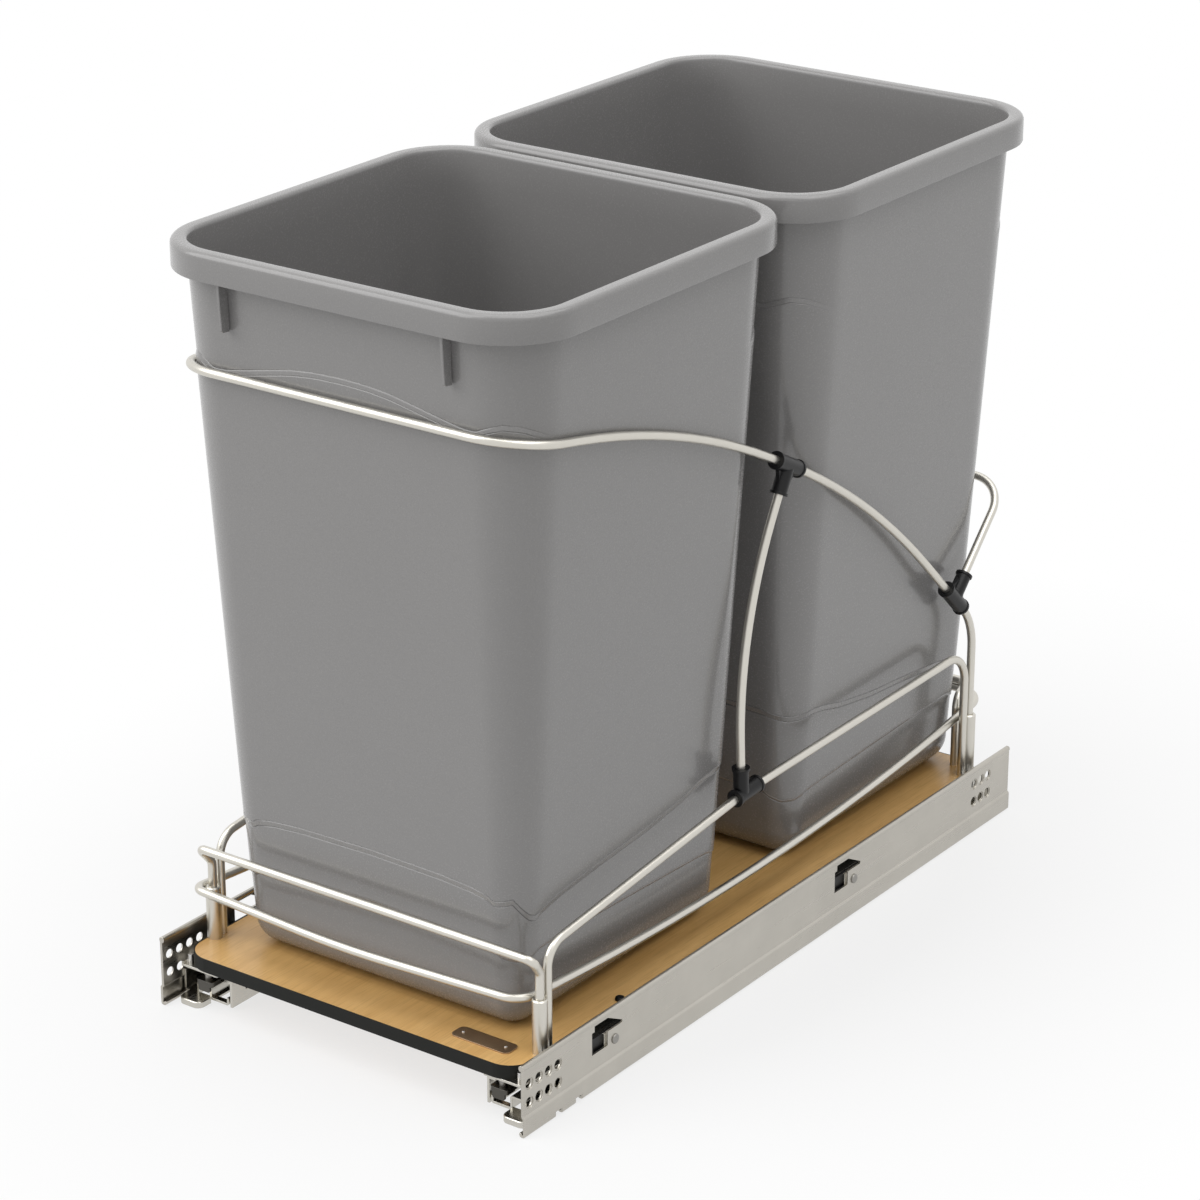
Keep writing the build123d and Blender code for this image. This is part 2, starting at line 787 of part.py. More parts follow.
def between(start, end, share):
    """Point part of the way from one point to another."""
    return start + (end - start) * share


def top_tee_frame():
    """Centre and direction of the hoop at the top tee."""
    _, _, low, high, _ = hoop_points()
    share = (low.Y - depth(top_tee_depth)) / (low.Y - high.Y)
    return between(low, high, share), (high - low).normalized()


def rear_tee_frame():
    """Centre and direction of the hoop at the rear tee."""
    _, knee, low, _, _ = hoop_points()
    along = (low - knee).normalized()
    return knee + along * rear_tee_from_knee, along


def rail_tee_frame():
    """Bend of the side rail, where the lower tee sits, and the middle direction of its two stretches."""
    _, front, kink, rear, _ = rail_points()
    return kink, ((kink - front).normalized() + (rear - kink).normalized()).normalized()


def lower_stem_foot():
    """Where the stem's axis of the lower tee meets the rail."""
    kink, along = rail_tee_frame()
    return kink - along * lower_tee_offset


def make_tee(centre, along, foot, towards, length, bored):
    """Clip-on tee: run along its wire, stem with a collar, rings at the run's ends, webs in the corners."""
    direction = (towards - foot).normalized()
    side = along.cross(direction).normalized()
    run = Plane(origin=centre, z_dir=along, x_dir=side)
    stem = Plane(origin=foot, z_dir=direction, x_dir=side)
    upwards = (Align.CENTER, Align.CENTER, Align.MIN)
    body = run * Cylinder(tee_outer / 2, length)
    body += stem * Cylinder(tee_outer / 2 - tee_stem_thinner, tee_stem, align=upwards)
    ring = Cylinder(tee_outer / 2 + tee_ring_proud, tee_ring)
    body += stem * Pos(0, 0, tee_stem - tee_ring / 2) * ring
    for end in (-1, 1):
        body += run * Pos(0, 0, end * (length - tee_ring) / 2) * ring
    wide = length / 2 - (centre - foot).length - tee_ring
    web = Polyline((-wide, 0), (-tee_web, tee_stem - 2 * tee_ring), (tee_web, tee_stem - 2 * tee_ring),
                   (wide, 0), close=True)
    web = extrude(Plane(origin=foot, x_dir=along, z_dir=side) * make_face(web), amount=tee_web / 2, both=True)
    socket = Cylinder(wire_radius + tee_bore_gap, tee_stem, align=upwards)
    return body + web - bored - stem * Pos(0, 0, tee_outer / 2 + tee_plug) * socket


def straight_bore(centre, along):
    """Bore of a tee on a straight stretch of wire."""
    return Plane(origin=centre, z_dir=along) * Cylinder(wire_radius + tee_bore_gap, 2 * tee_run)


def stem_end(centre, direction):
    """Where a wire's end sits inside a tee's stem."""
    return centre + direction.normalized() * (tee_outer / 2 + tee_plug + running_gap)


def square_to(along):
    """Direction square to a wire in the side view, upwards."""
    across = Vector(0, -along.Z, along.Y).normalized()
    return across if across.Z > 0 else across * -1


def strut_points():
    """Ends of the right strut at the two tees and the corner between them."""
    top, top_along = top_tee_frame()
    _, low_along = rail_tee_frame()
    low = lower_stem_foot()
    down = square_to(top_along) * -1
    rise = square_to(low_along)
    span = low - top
    turn = down.Y * rise.Z - down.Z * rise.Y
    reach = (span.Y * rise.Z - span.Z * rise.Y) / turn
    bend = top + down * reach
    return top, Vector((top.X + low.X) / 2, bend.Y, bend.Z), low


def make_strut():
    """Bowed strut between the hoop and the side rail."""
    top, bend, low = strut_points()
    first = stem_end(top, bend - top)
    last = stem_end(low, bend - low)
    return rod(FilletPolyline(first, bend, last, radius=strut_bend))


def back_hoop_points():
    """Corners of the right half of the hoop behind the second bin."""
    centre, _ = rear_tee_frame()
    corner = place(post_reach - back_hoop_inset, overall_depth - back_hoop_clear, back_hoop_level)
    return stem_end(centre, corner - centre), corner


def make_back_hoop():
    """Hoop behind the second bin, plugged into the rear tees."""
    points = back_hoop_points()
    return rod(FilletPolyline(*points, *mirrored(points), radius=back_hoop_bend))


def tee_set():
    """The three tees of the right side."""
    top, top_along = top_tee_frame()
    rear, rear_along = rear_tee_frame()
    low, low_along = rail_tee_frame()
    _, bend, foot = strut_points()
    _, corner = back_hoop_points()
    rail_bore = make_rail(wire + 2 * tee_bore_gap)
    return {
        "top_tee": make_tee(top, top_along, top, bend, tee_run, straight_bore(top, top_along)),
        "rear_tee": make_tee(rear, rear_along, rear, corner, tee_run, straight_bore(rear, rear_along)),
        "lower_tee": make_tee(low, low_along, foot, bend, lower_tee_run, rail_bore),
    }


# ---------------------------------------------------------------- front locks
def lock_screw_places():
    """Reach and depth of the screws of one lock plate."""
    middle = platform_setback + lock_plate_setback + lock_plate_depth / 2
    return [(bracket_face - inset, middle) for inset in lock_screw_insets]


def lock_screw_bores():
    """Bores of the lock plate's screws, blind in the board."""
    length = drawer_sheet + screw_bite + bite_gap
    return [drill((side * reach, depth(distance), drawer_plate_low + length / 2), (0, 0, 1),
                  edge_screw_shank + 2 * fit_gap, length)
            for reach, distance in lock_screw_places() for side in (-1, 1)]


def make_lock_plate():
    """Plate under the board's front edge that carries the release lever's pin."""
    near = platform_setback + lock_plate_setback
    span = [bracket_face - inset for inset in lock_plate_insets]
    plate = slab(span, (near, near + lock_plate_depth), (drawer_plate_low, platform_bottom))
    plate = fillet(plate.edges().filter_by(Axis.Z), lock_plate_corner)
    pin = drill((lever_reach, depth(lever_pin_depth), platform_bottom), (0, 0, 1),
                lever_pin + 2 * fit_gap, 4 * drawer_sheet)
    return plate - pin - lock_screw_bores()


def make_lock_screws():
    """Pan-head screws of the lock plates."""
    screws = []
    for reach, distance in lock_screw_places():
        for side in (-1, 1):
            spot = Pos(side * reach, depth(distance), drawer_plate_low)
            head = spot * Pos(0, 0, -edge_screw_height / 2) * Cylinder(edge_screw_head / 2, edge_screw_height)
            head = fillet(head.edges().group_by(Axis.Z)[0], edge_screw_round)
            length = drawer_sheet + screw_bite
            shank = spot * Pos(0, 0, length / 2) * Cylinder(edge_screw_shank / 2, length)
            screws.append(head + shank)
    return screws


def make_lever():
    """Release lever: flat arm on a vertical pin, with a wide head and a finger tab turned down in front."""
    front = lever_pin_depth - lever_nose

    def flat(width, length, corner):
        outline = RectangleRounded(width, length, corner)
        centre = Pos(lever_reach, depth(front + length / 2), lever_level)
        return centre * extrude(outline, amount=lever_thickness)

    arm = flat(lever_width, lever_length, lever_head_corner)
    arm += flat(lever_head_width, lever_head_depth, lever_head_corner)
    tab_half = lever_head_width / 2 - lever_head_corner
    tab = slab((lever_reach - tab_half, lever_reach + tab_half), (front, front + lever_tab_sheet),
               (lever_level - lever_tab, lever_level + lever_thickness / 2))
    tab = fillet(tab.edges().filter_by(Axis.Y).group_by(Axis.Z)[0], lever_tab_round)
    bore = drill((lever_reach, depth(lever_pin_depth), lever_level), (0, 0, 1),
                 lever_pin + 2 * fit_gap, 4 * lever_thickness)
    return arm + tab - bore


def make_lever_pin():
    """Headed pin that hangs the lever from its plate, with a spacing collar."""
    low = lever_level - lever_pin_head_height - fit_gap
    spot = Pos(lever_reach, depth(lever_pin_depth), 0)
    shank = spot * Pos(0, 0, (low + platform_bottom) / 2) * Cylinder(lever_pin / 2, platform_bottom - low)
    head = spot * Pos(0, 0, low + lever_pin_head_height / 2) * Cylinder(lever_pin_head / 2,
                                                                      lever_pin_head_height)
    collar_low = lever_level + lever_thickness + fit_gap
    collar = spot * Pos(0, 0, (collar_low + drawer_plate_low) / 2) * Cylinder(
        lever_pin_head / 2, drawer_plate_low - collar_low)
    return shank + head + collar


def write_slides():
    """Nodes of the two slides."""
    both_sides("cabinet_bracket", [make_bracket()])
    both_sides("fixed_runner", [make_runner()])
    both_sides("runner_rivets", make_rivets())
    both_sides("guide_blocks", make_guide_blocks())
    both_sides("middle_member", [make_middle()])
    both_sides("drawer_member", [make_drawer_member()])
    lower, lower_rollers = make_cage(lower_cage_length, track_height, middle_top - middle_sheet,
                                     lower_roller_width, slide_length / 2)
    upper, upper_rollers = make_cage(upper_cage_length, middle_top, drawer_plate_low,
                                     upper_roller_width, slide_length / 2)
    both_sides("lower_cage", [lower])
    both_sides("lower_rollers", lower_rollers)
    both_sides("upper_cage", [upper])
    both_sides("upper_rollers", upper_rollers)
    both_sides("lock_plate", [make_lock_plate()])
    both_sides("release_lever", [make_lever()])
    both_sides("lever_pin", [make_lever_pin()])


def write_platform():
    """Nodes of the platform and what is fixed to it."""
    save("platform_board", make_board())
    save("edge_band", make_band())
    save("post_studs", *make_post_studs())
    save("edge_screws", *make_edge_screws())
    save("under_screws", *make_under_screws())
    save("lock_screws", *make_lock_screws())
    plate, pins = make_plate()
    save("blank_plate", plate)
    save("plate_pins", *pins)


def write_frame():
    """Nodes of the wire frame."""
    names = ("post_front_left", "post_front_right", "post_rear_left", "post_rear_right")
    for name, (x, distance, top) in zip(names, post_places()):
        save(name, make_sleeve(x, distance, top))
    save("front_bar", make_front_bar())
    save("rear_bar", make_rear_bar())
    both_sides("side_rail", [make_rail()])
    save("lower_loop", make_loop())
    save("upper_hoop", make_hoop())
    save("back_hoop", make_back_hoop())
    both_sides("strut", [make_strut()])
    for name, tee in tee_set().items():
        both_sides(name, [tee])


def write_bins():
    """Nodes of the two bins."""
    save("front_bin", make_bin(bin_centres[0]))
    save("rear_bin", make_bin(bin_centres[1]))


write_slides()
write_platform()
write_frame()
write_bins()
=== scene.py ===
import logging
import math
from abc import ABC, abstractmethod
from dataclasses import dataclass
from enum import Enum
from typing import ClassVar, Sequence

import bpy
import numpy as np
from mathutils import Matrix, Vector


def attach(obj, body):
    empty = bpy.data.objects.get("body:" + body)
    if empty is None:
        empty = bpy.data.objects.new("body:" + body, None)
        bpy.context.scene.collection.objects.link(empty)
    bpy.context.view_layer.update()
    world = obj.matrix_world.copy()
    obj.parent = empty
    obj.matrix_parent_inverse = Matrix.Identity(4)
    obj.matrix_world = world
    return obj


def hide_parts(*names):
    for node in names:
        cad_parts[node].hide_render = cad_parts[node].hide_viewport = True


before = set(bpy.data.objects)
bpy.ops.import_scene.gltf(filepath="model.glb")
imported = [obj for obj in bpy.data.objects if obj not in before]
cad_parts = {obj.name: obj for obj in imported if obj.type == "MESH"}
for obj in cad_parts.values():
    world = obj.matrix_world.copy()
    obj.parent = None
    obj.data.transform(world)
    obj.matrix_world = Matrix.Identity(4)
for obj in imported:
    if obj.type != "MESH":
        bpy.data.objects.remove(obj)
log = logging.getLogger("pull_out_unit")

Tree = bpy.types.NodeTree
Node = bpy.types.Node
Socket = bpy.types.NodeSocket
Sockets = bpy.types.NodeOutputs
Colour = tuple[float, float, float]
Table = tuple[tuple[float, float], ...]
Grid = np.ndarray

MM = 0.001
FRONT_Y = -288.6  # the brackets' front, in millimetres
QUARTER = math.pi / 2
SHARP_EDGE = 32.0  # edges over this angle in degrees stay sharp
WHITE = (1.0, 1.0, 1.0, 1.0)
MIX_FACTOR, MIX_FIRST, MIX_SECOND, MIX_RESULT = 0, 6, 7, 2  # the Mix node's colour sockets


# ------------------------------------------------------------------ shader helpers
def add_node(tree: Tree, kind: str, values: dict | None = None, **settings: object) -> Node:
    """Add a shader node.

    Args:
        tree: the node tree.
        kind: the node type without its ShaderNode prefix.
        values: sockets to link or values to set, by input name or index.
        **settings: attributes of the node, set before its inputs.

    Returns:
        The new node.
    """
    made = tree.nodes.new(f"ShaderNode{kind}")
    for name, value in settings.items():
        setattr(made, name, value)
    for socket, value in (values or {}).items():
        if isinstance(value, Socket):
            tree.links.new(value, made.inputs[socket])
        else:
            made.inputs[socket].default_value = value
    return made


def calc(tree: Tree, operation: str, *terms: object, clamp: bool = False) -> Socket:
    """Scalar sum, product or other operation of sockets and numbers.

    Args:
        tree: the node tree.
        operation: the Math node's operation.
        *terms: sockets or numbers.
        clamp: keep the result between 0 and 1.

    Returns:
        The result's socket.
    """
    inputs = dict(enumerate(terms))
    return add_node(tree, "Math", inputs, operation=operation, use_clamp=clamp).outputs[0]


def stretch(tree: Tree, vector: Socket, scale: Sequence[float]) -> Socket:
    """Multiply a vector by three numbers."""
    return add_node(tree, "VectorMath", {0: vector, 1: scale}, operation="MULTIPLY").outputs[0]


def noise(tree: Tree, vector: Socket, scale: object, detail: float, rough: float = 0.5) -> Sockets:
    """Place a noise texture.

    Args:
        tree: the node tree.
        vector: where it is read.
        scale: its fineness, as a number or a socket.
        detail: how many finer layers it has.
        rough: how strong these are.

    Returns:
        Its outputs, the value first.
    """
    values = {"Vector": vector, "Scale": scale, "Detail": detail, "Roughness": rough}
    return add_node(tree, "TexNoise", values).outputs


def remap(tree: Tree, value: Socket, source: tuple[float, float],
          target: tuple[object, object]) -> Socket:
    """Map a value from one range to another, clamped.

    Args:
        tree: the node tree.
        value: the socket to map.
        source: its lowest and highest value.
        target: what these become, as numbers or sockets.

    Returns:
        The mapped value's socket.
    """
    ends = {"From Min": source[0], "From Max": source[1],
            "To Min": target[0], "To Max": target[1]}
    return add_node(tree, "MapRange", {"Value": value, **ends}).outputs["Result"]


def with_alpha(colour: Colour | Socket) -> tuple[float, ...] | Socket:
    """A colour with full alpha, or a socket as it is."""
    return colour if isinstance(colour, Socket) else (*colour, 1.0)


def blend_colours(tree: Tree, factor: object, first: Colour | Socket, second: Colour | Socket,
                  mode: str = "MIX") -> Socket:
    """Mix two colours.

    Args:
        tree: the node tree.
        factor: share of the second colour.
        first: a colour or a socket.
        second: a colour or a socket.
        mode: the Mix node's blend type.

    Returns:
        The mixed colour's socket.
    """
    values = {MIX_FACTOR: factor, MIX_FIRST: with_alpha(first), MIX_SECOND: with_alpha(second)}
    made = add_node(tree, "Mix", values, data_type="RGBA", blend_type=mode)
    return made.outputs[MIX_RESULT]


def ray_mask(tree: Tree, *kinds: str) -> Socket:
    """Tell which rays are of some kinds.

    Args:
        tree: the tree of a material or of the world.
        *kinds: the kinds, such as Camera.

    Returns:
        Socket that is 1 for these rays and 0 for others.
    """
    path = add_node(tree, "LightPath")
    mask = path.outputs[f"Is {kinds[0]} Ray"]
    for kind in kinds[1:]:
        mask = calc(tree, "MAXIMUM", mask, path.outputs[f"Is {kind} Ray"])
    return mask


def start_material(title: str) -> tuple[bpy.types.Material, Tree, Node]:
    """Make a material with its shader still plain.

    Args:
        title: its name.

    Returns:
        The material, its tree and its Principled BSDF.
    """
    made = bpy.data.materials.new(title)
    made.use_nodes = True
    return made, made.node_tree, made.node_tree.nodes["Principled BSDF"]


class EffectGroup(ABC):
    """A shader node group with named inputs and outputs, built once and placed where it is used."""

    title: ClassVar[str]
    takes: ClassVar[dict[str, tuple[str, object]]]
    gives: ClassVar[dict[str, str]]

    @classmethod
    def tree(cls) -> Tree:
        """The group's node tree, made at its first use.

        Returns:
            The tree.
        """
        found = bpy.data.node_groups.get(cls.title)
        if found:
            return found
        made = bpy.data.node_groups.new(cls.title, "ShaderNodeTree")
        for name, (kind, value) in cls.takes.items():
            socket = made.interface.new_socket(name, in_out="INPUT",
                                               socket_type=f"NodeSocket{kind}")
            if value is not None:
                socket.default_value = value
        for name, kind in cls.gives.items():
            made.interface.new_socket(name, in_out="OUTPUT", socket_type=f"NodeSocket{kind}")
        entry = made.nodes.new("NodeGroupInput")
        leave = made.nodes.new("NodeGroupOutput")
        for name, socket in cls.inside(made, entry.outputs).items():
            made.links.new(socket, leave.inputs[name])
        return made

    @classmethod
    @abstractmethod
    def inside(cls, tree: Tree, given: Sockets) -> dict[str, Socket]:
        """Build the group's nodes.

        Args:
            tree: the group's tree.
            given: the sockets of its inputs.

        Returns:
            The socket of each output by its name.
        """

    @classmethod
    def place(cls, tree: Tree, **values: object) -> Sockets:
        """Put the group into a material, with a socket or value for each input named."""
        return add_node(tree, "Group", values, node_tree=cls.tree()).outputs


class Mottle(EffectGroup):
    """Cloudy variation at two scales around 1."""

    title = "mottle"
    takes = {"Vector": ("Vector", None), "Scale": ("Float", 20.0), "Spread": ("Float", 0.08)}
    gives = {"Factor": "Float"}
    fineness = 9.0  # of the small clouds, against the broad ones
    broad_share, fine_share = 0.65, 0.35
    ends = (0.3, 0.7)  # values of the darkest and the lightest clouds

    @classmethod
    def inside(cls, tree: Tree, given: Sockets) -> dict[str, Socket]:
        """Broad clouds with finer ones on them.

        Args:
            tree: the group's tree.
            given: the sockets of its inputs.

        Returns:
            The factor, 1 in the middle.
        """
        broad = noise(tree, given["Vector"], given["Scale"], 3.0)[0]
        fine_scale = calc(tree, "MULTIPLY", given["Scale"], cls.fineness)
        fine = noise(tree, given["Vector"], fine_scale, 4.0)[0]
        both = calc(tree, "MULTIPLY_ADD", fine, cls.fine_share,
                    calc(tree, "MULTIPLY", broad, cls.broad_share))
        cloud = remap(tree, both, cls.ends, (-1.0, 1.0))
        return {"Factor": calc(tree, "MULTIPLY_ADD", cloud, given["Spread"], 1.0)}


class EdgeWear(EffectGroup):
    """Mask of a piece's edges and corners, broken up by noise, and a normal that rounds them."""

    title = "edge_wear"
    takes = {"Vector": ("Vector", None), "Radius": ("Float", 0.0004), "Amount": ("Float", 1.0)}
    gives = {"Mask": "Float", "Rounded": "Vector"}
    turned = (0.995, 0.90)  # cosines of no wear and of full wear
    patch_scale = 180.0
    patches = (0.35, 0.6)  # noise of the barest and the fullest patch
    barest = 0.35

    @classmethod
    def inside(cls, tree: Tree, given: Sockets) -> dict[str, Socket]:
        """Compare the rounded normal with the true one.

        Args:
            tree: the group's tree.
            given: the sockets of its inputs.

        Returns:
            The mask and the rounded normal.
        """
        bevel = add_node(tree, "Bevel", {"Radius": given["Radius"]}, samples=6).outputs[0]
        true_normal = add_node(tree, "NewGeometry").outputs["True Normal"]
        facing = add_node(tree, "VectorMath", {0: bevel, 1: true_normal}, operation="DOT_PRODUCT")
        edge = remap(tree, facing.outputs["Value"], cls.turned, (0.0, 1.0))
        patchy = noise(tree, given["Vector"], cls.patch_scale, 3.0)[0]
        broken = calc(tree, "MULTIPLY", edge, remap(tree, patchy, cls.patches, (cls.barest, 1.0)))
        mask = calc(tree, "MULTIPLY", broken, given["Amount"], clamp=True)
        return {"Mask": mask, "Rounded": bevel}


class DrawnLines(EffectGroup):
    """Fine lines left by rolling or drawing, along the way in which the vector is stretched."""

    title = "drawn_lines"
    takes = {"Vector": ("Vector", None), "Scale": ("Float", 900.0)}
    gives = {"Line": "Float", "Height": "Float"}
    coarseness = 0.22
    fine_share, coarse_share = 0.55, 0.45
    ends = (0.32, 0.68)  # heights of the dullest and the brightest line

    @classmethod
    def inside(cls, tree: Tree, given: Sockets) -> dict[str, Socket]:
        """Two layers of stretched noise.

        Args:
            tree: the group's tree.
            given: the sockets of its inputs.

        Returns:
            The lines from 0 to 1 and their height.
        """
        fine = noise(tree, given["Vector"], given["Scale"], 2.0)[0]
        coarse_scale = calc(tree, "MULTIPLY", given["Scale"], cls.coarseness)
        coarse = noise(tree, given["Vector"], coarse_scale, 3.0)[0]
        line = calc(tree, "ADD", calc(tree, "MULTIPLY", fine, cls.fine_share),
                    calc(tree, "MULTIPLY", coarse, cls.coarse_share))
        return {"Line": remap(tree, line, cls.ends, (0.0, 1.0)), "Height": line}


class MouldGrain(EffectGroup):
    """Fine even grain of a moulded surface, with a slow waviness below it."""

    title = "mould_grain"
    takes = {"Vector": ("Vector", None), "Scale": ("Float", 1500.0), "Wave": ("Float", 0.25)}
    gives = {"Height": "Float", "Grain": "Float"}
    cell_share = noise_share = 0.5
    wave_scale = 22.0

    @classmethod
    def inside(cls, tree: Tree, given: Sockets) -> dict[str, Socket]:
        """Cells and noise over a slow wave.

        Args:
            tree: the group's tree.
            given: the sockets of its inputs.

        Returns:
            The height with the wave and the grain alone.
        """
        cell_values = {"Vector": given["Vector"], "Scale": given["Scale"]}
        cells = add_node(tree, "TexVoronoi", cell_values, feature="SMOOTH_F1").outputs["Distance"]
        fine = noise(tree, given["Vector"], given["Scale"], 2.0)[0]
        slow = noise(tree, given["Vector"], cls.wave_scale, 1.0)[0]
        grain = calc(tree, "MULTIPLY_ADD", cells, cls.cell_share,
                     calc(tree, "MULTIPLY", fine, cls.noise_share))
        height = calc(tree, "ADD", grain, calc(tree, "MULTIPLY", slow, given["Wave"]))
        return {"Height": height, "Grain": grain}


class MapleFigure(EffectGroup):
    """Figure of plain sliced maple along Y: growth bands, fine pores and a faint ray fleck."""

    title = "maple_figure"
    takes = {"Vector": ("Vector", None)}
    gives = {"Band": "Float", "Pore": "Float", "Fleck": "Float"}
    band_stretch = (1.0, 0.085, 1.0)
    pore_stretch = (1.0, 0.03, 1.0)
    fleck_stretch = (1.0, 0.4, 1.0)
    bend = 0.035  # how far the bands wander, in metres of the stretched vector
    bend_scale, band_scale, pore_scale, fleck_scale = 14.0, 70.0, 1400.0, 220.0
    band_ends, pore_ends, fleck_ends = (0.3, 0.7), (0.52, 0.7), (0.45, 0.7)

    @classmethod
    def inside(cls, tree: Tree, given: Sockets) -> dict[str, Socket]:
        """Long stretched noises at three scales.

        Args:
            tree: the group's tree.
            given: the sockets of its inputs.

        Returns:
            The bands, the pores and the flecks, each from 0 to 1.
        """
        along = stretch(tree, given["Vector"], cls.band_stretch)
        wander = noise(tree, along, cls.bend_scale, 3.0)["Color"]
        offset = stretch(tree, wander, (cls.bend,) * 3)
        warped = add_node(tree, "VectorMath", {0: along, 1: offset}, operation="ADD").outputs[0]
        band = noise(tree, warped, cls.band_scale, 6.0, 0.62)[0]
        thin = stretch(tree, given["Vector"], cls.pore_stretch)
        pore = noise(tree, thin, cls.pore_scale, 2.0)[0]
        short = stretch(tree, given["Vector"], cls.fleck_stretch)
        fleck = noise(tree, short, cls.fleck_scale, 3.0)[0]
        return {"Band": remap(tree, band, cls.band_ends, (0.0, 1.0)),
                "Pore": remap(tree, pore, cls.pore_ends, (0.0, 1.0)),
                "Fleck": remap(tree, fleck, cls.fleck_ends, (0.0, 1.0))}


# ------------------------------------------------------------------ finishes
@dataclass(frozen=True)
class Finish(ABC):
    """A surface finish that makes one procedural material.

    Attributes:
        title: the material's name.
        slot: the record's material slot.
        colour: linear base colour.
        roughness: middle roughness.
    """

    title: str
    slot: str
    colour: Colour
    roughness: float

    def material(self) -> bpy.types.Material:
        """The finish's material, made at its first use.

        Returns:
            The material.
        """
        found = bpy.data.materials.get(self.title)
        if found:
            return found
        made, tree, shader = start_material(self.title)
        self.paint(tree, shader, add_node(tree, "TexCoord").outputs["Object"])
        made.diffuse_color = (*self.colour, 1.0)
        return made

    @abstractmethod
    def paint(self, tree: Tree, shader: Node, place: Socket) -> None:
        """Wire the effects into the shader.

        Args:
            tree: the material's tree.
            shader: its Principled BSDF.
            place: the object coordinates.
        """

    @staticmethod
    def bump(tree: Tree, shader: Node, height: Socket, strength: float, distance: float,
             normal: Socket | None = None) -> None:
        """Feed a height into the shader's normal.

        Args:
            tree: the material's tree.
            shader: its Principled BSDF.
            height: the height's socket.
            strength: the bump's strength.
            distance: the bump's depth in metres.
            normal: a normal to start from.
        """
        values = {"Height": height, "Strength": strength, "Distance": distance}
        made = add_node(tree, "Bump", values)
        if normal:
            tree.links.new(normal, made.inputs["Normal"])
        tree.links.new(made.outputs[0], shader.inputs["Normal"])


@dataclass(frozen=True)
class CloudedFinish(Finish):
    """A clouded colour with lighter edges, and a fine effect in roughness and height.

    Attributes:
        spread: how cloudy the colour is.
        cloud: how many clouds a metre holds.
        wear: how bright the edges are.
        edge: radius that rounds the edges, in metres, or 0 on wire and where the mesh has its own.
        relief: depth of the fine effect in metres.
    """

    spread: float = 0.05
    cloud: float = 26.0
    wear: float = 0.5
    edge: float = 0.0004
    relief: float = 0.00006
    edge_gain: ClassVar[float]
    edge_lift: ClassVar[float]
    effect_ends: ClassVar[tuple[float, float]]
    dulling: ClassVar[tuple[float, float]]  # of the roughness at these ends
    bump_strength: ClassVar[float]

    @abstractmethod
    def effect(self, tree: Tree, place: Socket) -> tuple[Socket, Socket]:
        """Place the fine effect.

        Args:
            tree: the material's tree.
            place: the object coordinates.

        Returns:
            What changes the roughness, and the height.
        """

    @abstractmethod
    def shader_values(self) -> dict[str, float]:
        """The shader's plain inputs by name."""

    def paint(self, tree: Tree, shader: Node, place: Socket) -> None:
        """Clouds and edges in the colour, the fine effect in roughness and height.

        Args:
            tree: the material's tree.
            shader: its Principled BSDF.
            place: the object coordinates.
        """
        effect, height = self.effect(tree, place)
        clouds = Mottle.place(tree, Vector=place, Scale=self.cloud, Spread=self.spread)["Factor"]
        tinted = blend_colours(tree, 1.0, self.colour, clouds, mode="MULTIPLY")
        rounded = None
        if self.edge:
            edges = EdgeWear.place(tree, Vector=place, Radius=self.edge, Amount=self.wear)
            lighter = tuple(min(1.0, channel * self.edge_gain + self.edge_lift)
                            for channel in self.colour)
            tinted, rounded = blend_colours(tree, edges["Mask"], tinted, lighter), edges["Rounded"]
        tree.links.new(tinted, shader.inputs["Base Color"])
        target = tuple(self.roughness * factor for factor in self.dulling)
        rough = remap(tree, effect, self.effect_ends, target)
        tree.links.new(calc(tree, "MULTIPLY", rough, clouds), shader.inputs["Roughness"])
        for name, value in self.shader_values().items():
            shader.inputs[name].default_value = value
        self.bump(tree, shader, height, self.bump_strength, self.relief, rounded)


@dataclass(frozen=True)
class PlatedSteel(CloudedFinish):
    """Plated or blank metal with drawn lines, cloudy plating (on the bracket partly a painted
    reflection) and brighter edges.

    Attributes:
        lines: stretch of the drawn lines on X, Y and Z.
        line_scale: their fineness.
    """

    lines: tuple[float, float, float] = (1.0, 0.02, 1.0)
    line_scale: float = 900.0
    edge_gain, edge_lift = 1.22, 0.03
    effect_ends, dulling = (0.0, 1.0), (0.82, 1.2)
    bump_strength = 0.06

    def effect(self, tree: Tree, place: Socket) -> tuple[Socket, Socket]:
        """Drawn lines.

        Args:
            tree: the material's tree.
            place: the object coordinates.

        Returns:
            The lines and their height.
        """
        drawn = stretch(tree, place, self.lines)
        lines = DrawnLines.place(tree, Vector=drawn, Scale=self.line_scale)
        return lines["Line"], lines["Height"]

    def shader_values(self) -> dict[str, float]:
        """The shader's plain inputs by name."""
        return {"Metallic": 1.0}


@dataclass(frozen=True)
class MouldedPlastic(CloudedFinish):
    """Injection-moulded plastic with a fine grain and scuffed edges.

    Attributes:
        grain: fineness of the grain.
        wave: slow waviness of large walls.
        coat: weight of the smooth skin over the grain.
        gloss: dielectric specular level.
    """

    spread: float = 0.03
    cloud: float = 14.0
    wear: float = 0.35
    relief: float = 0.00003
    grain: float = 1500.0
    wave: float = 0.2
    coat: float = 0.0
    gloss: float = 0.5
    edge_gain, edge_lift = 1.5, 0.02
    effect_ends, dulling = (0.2, 0.7), (0.9, 1.12)
    bump_strength = 0.2
    coat_roughness = 0.09

    def effect(self, tree: Tree, place: Socket) -> tuple[Socket, Socket]:
        """Mould grain.

        Args:
            tree: the material's tree.
            place: the object coordinates.

        Returns:
            The grain and its height.
        """
        grain = MouldGrain.place(tree, Vector=place, Scale=self.grain, Wave=self.wave)
        return grain["Grain"], grain["Height"]

    def shader_values(self) -> dict[str, float]:
        """The shader's plain inputs by name."""
        return {"Coat Weight": self.coat, "Coat Roughness": self.coat_roughness,
                "Specular IOR Level": self.gloss}


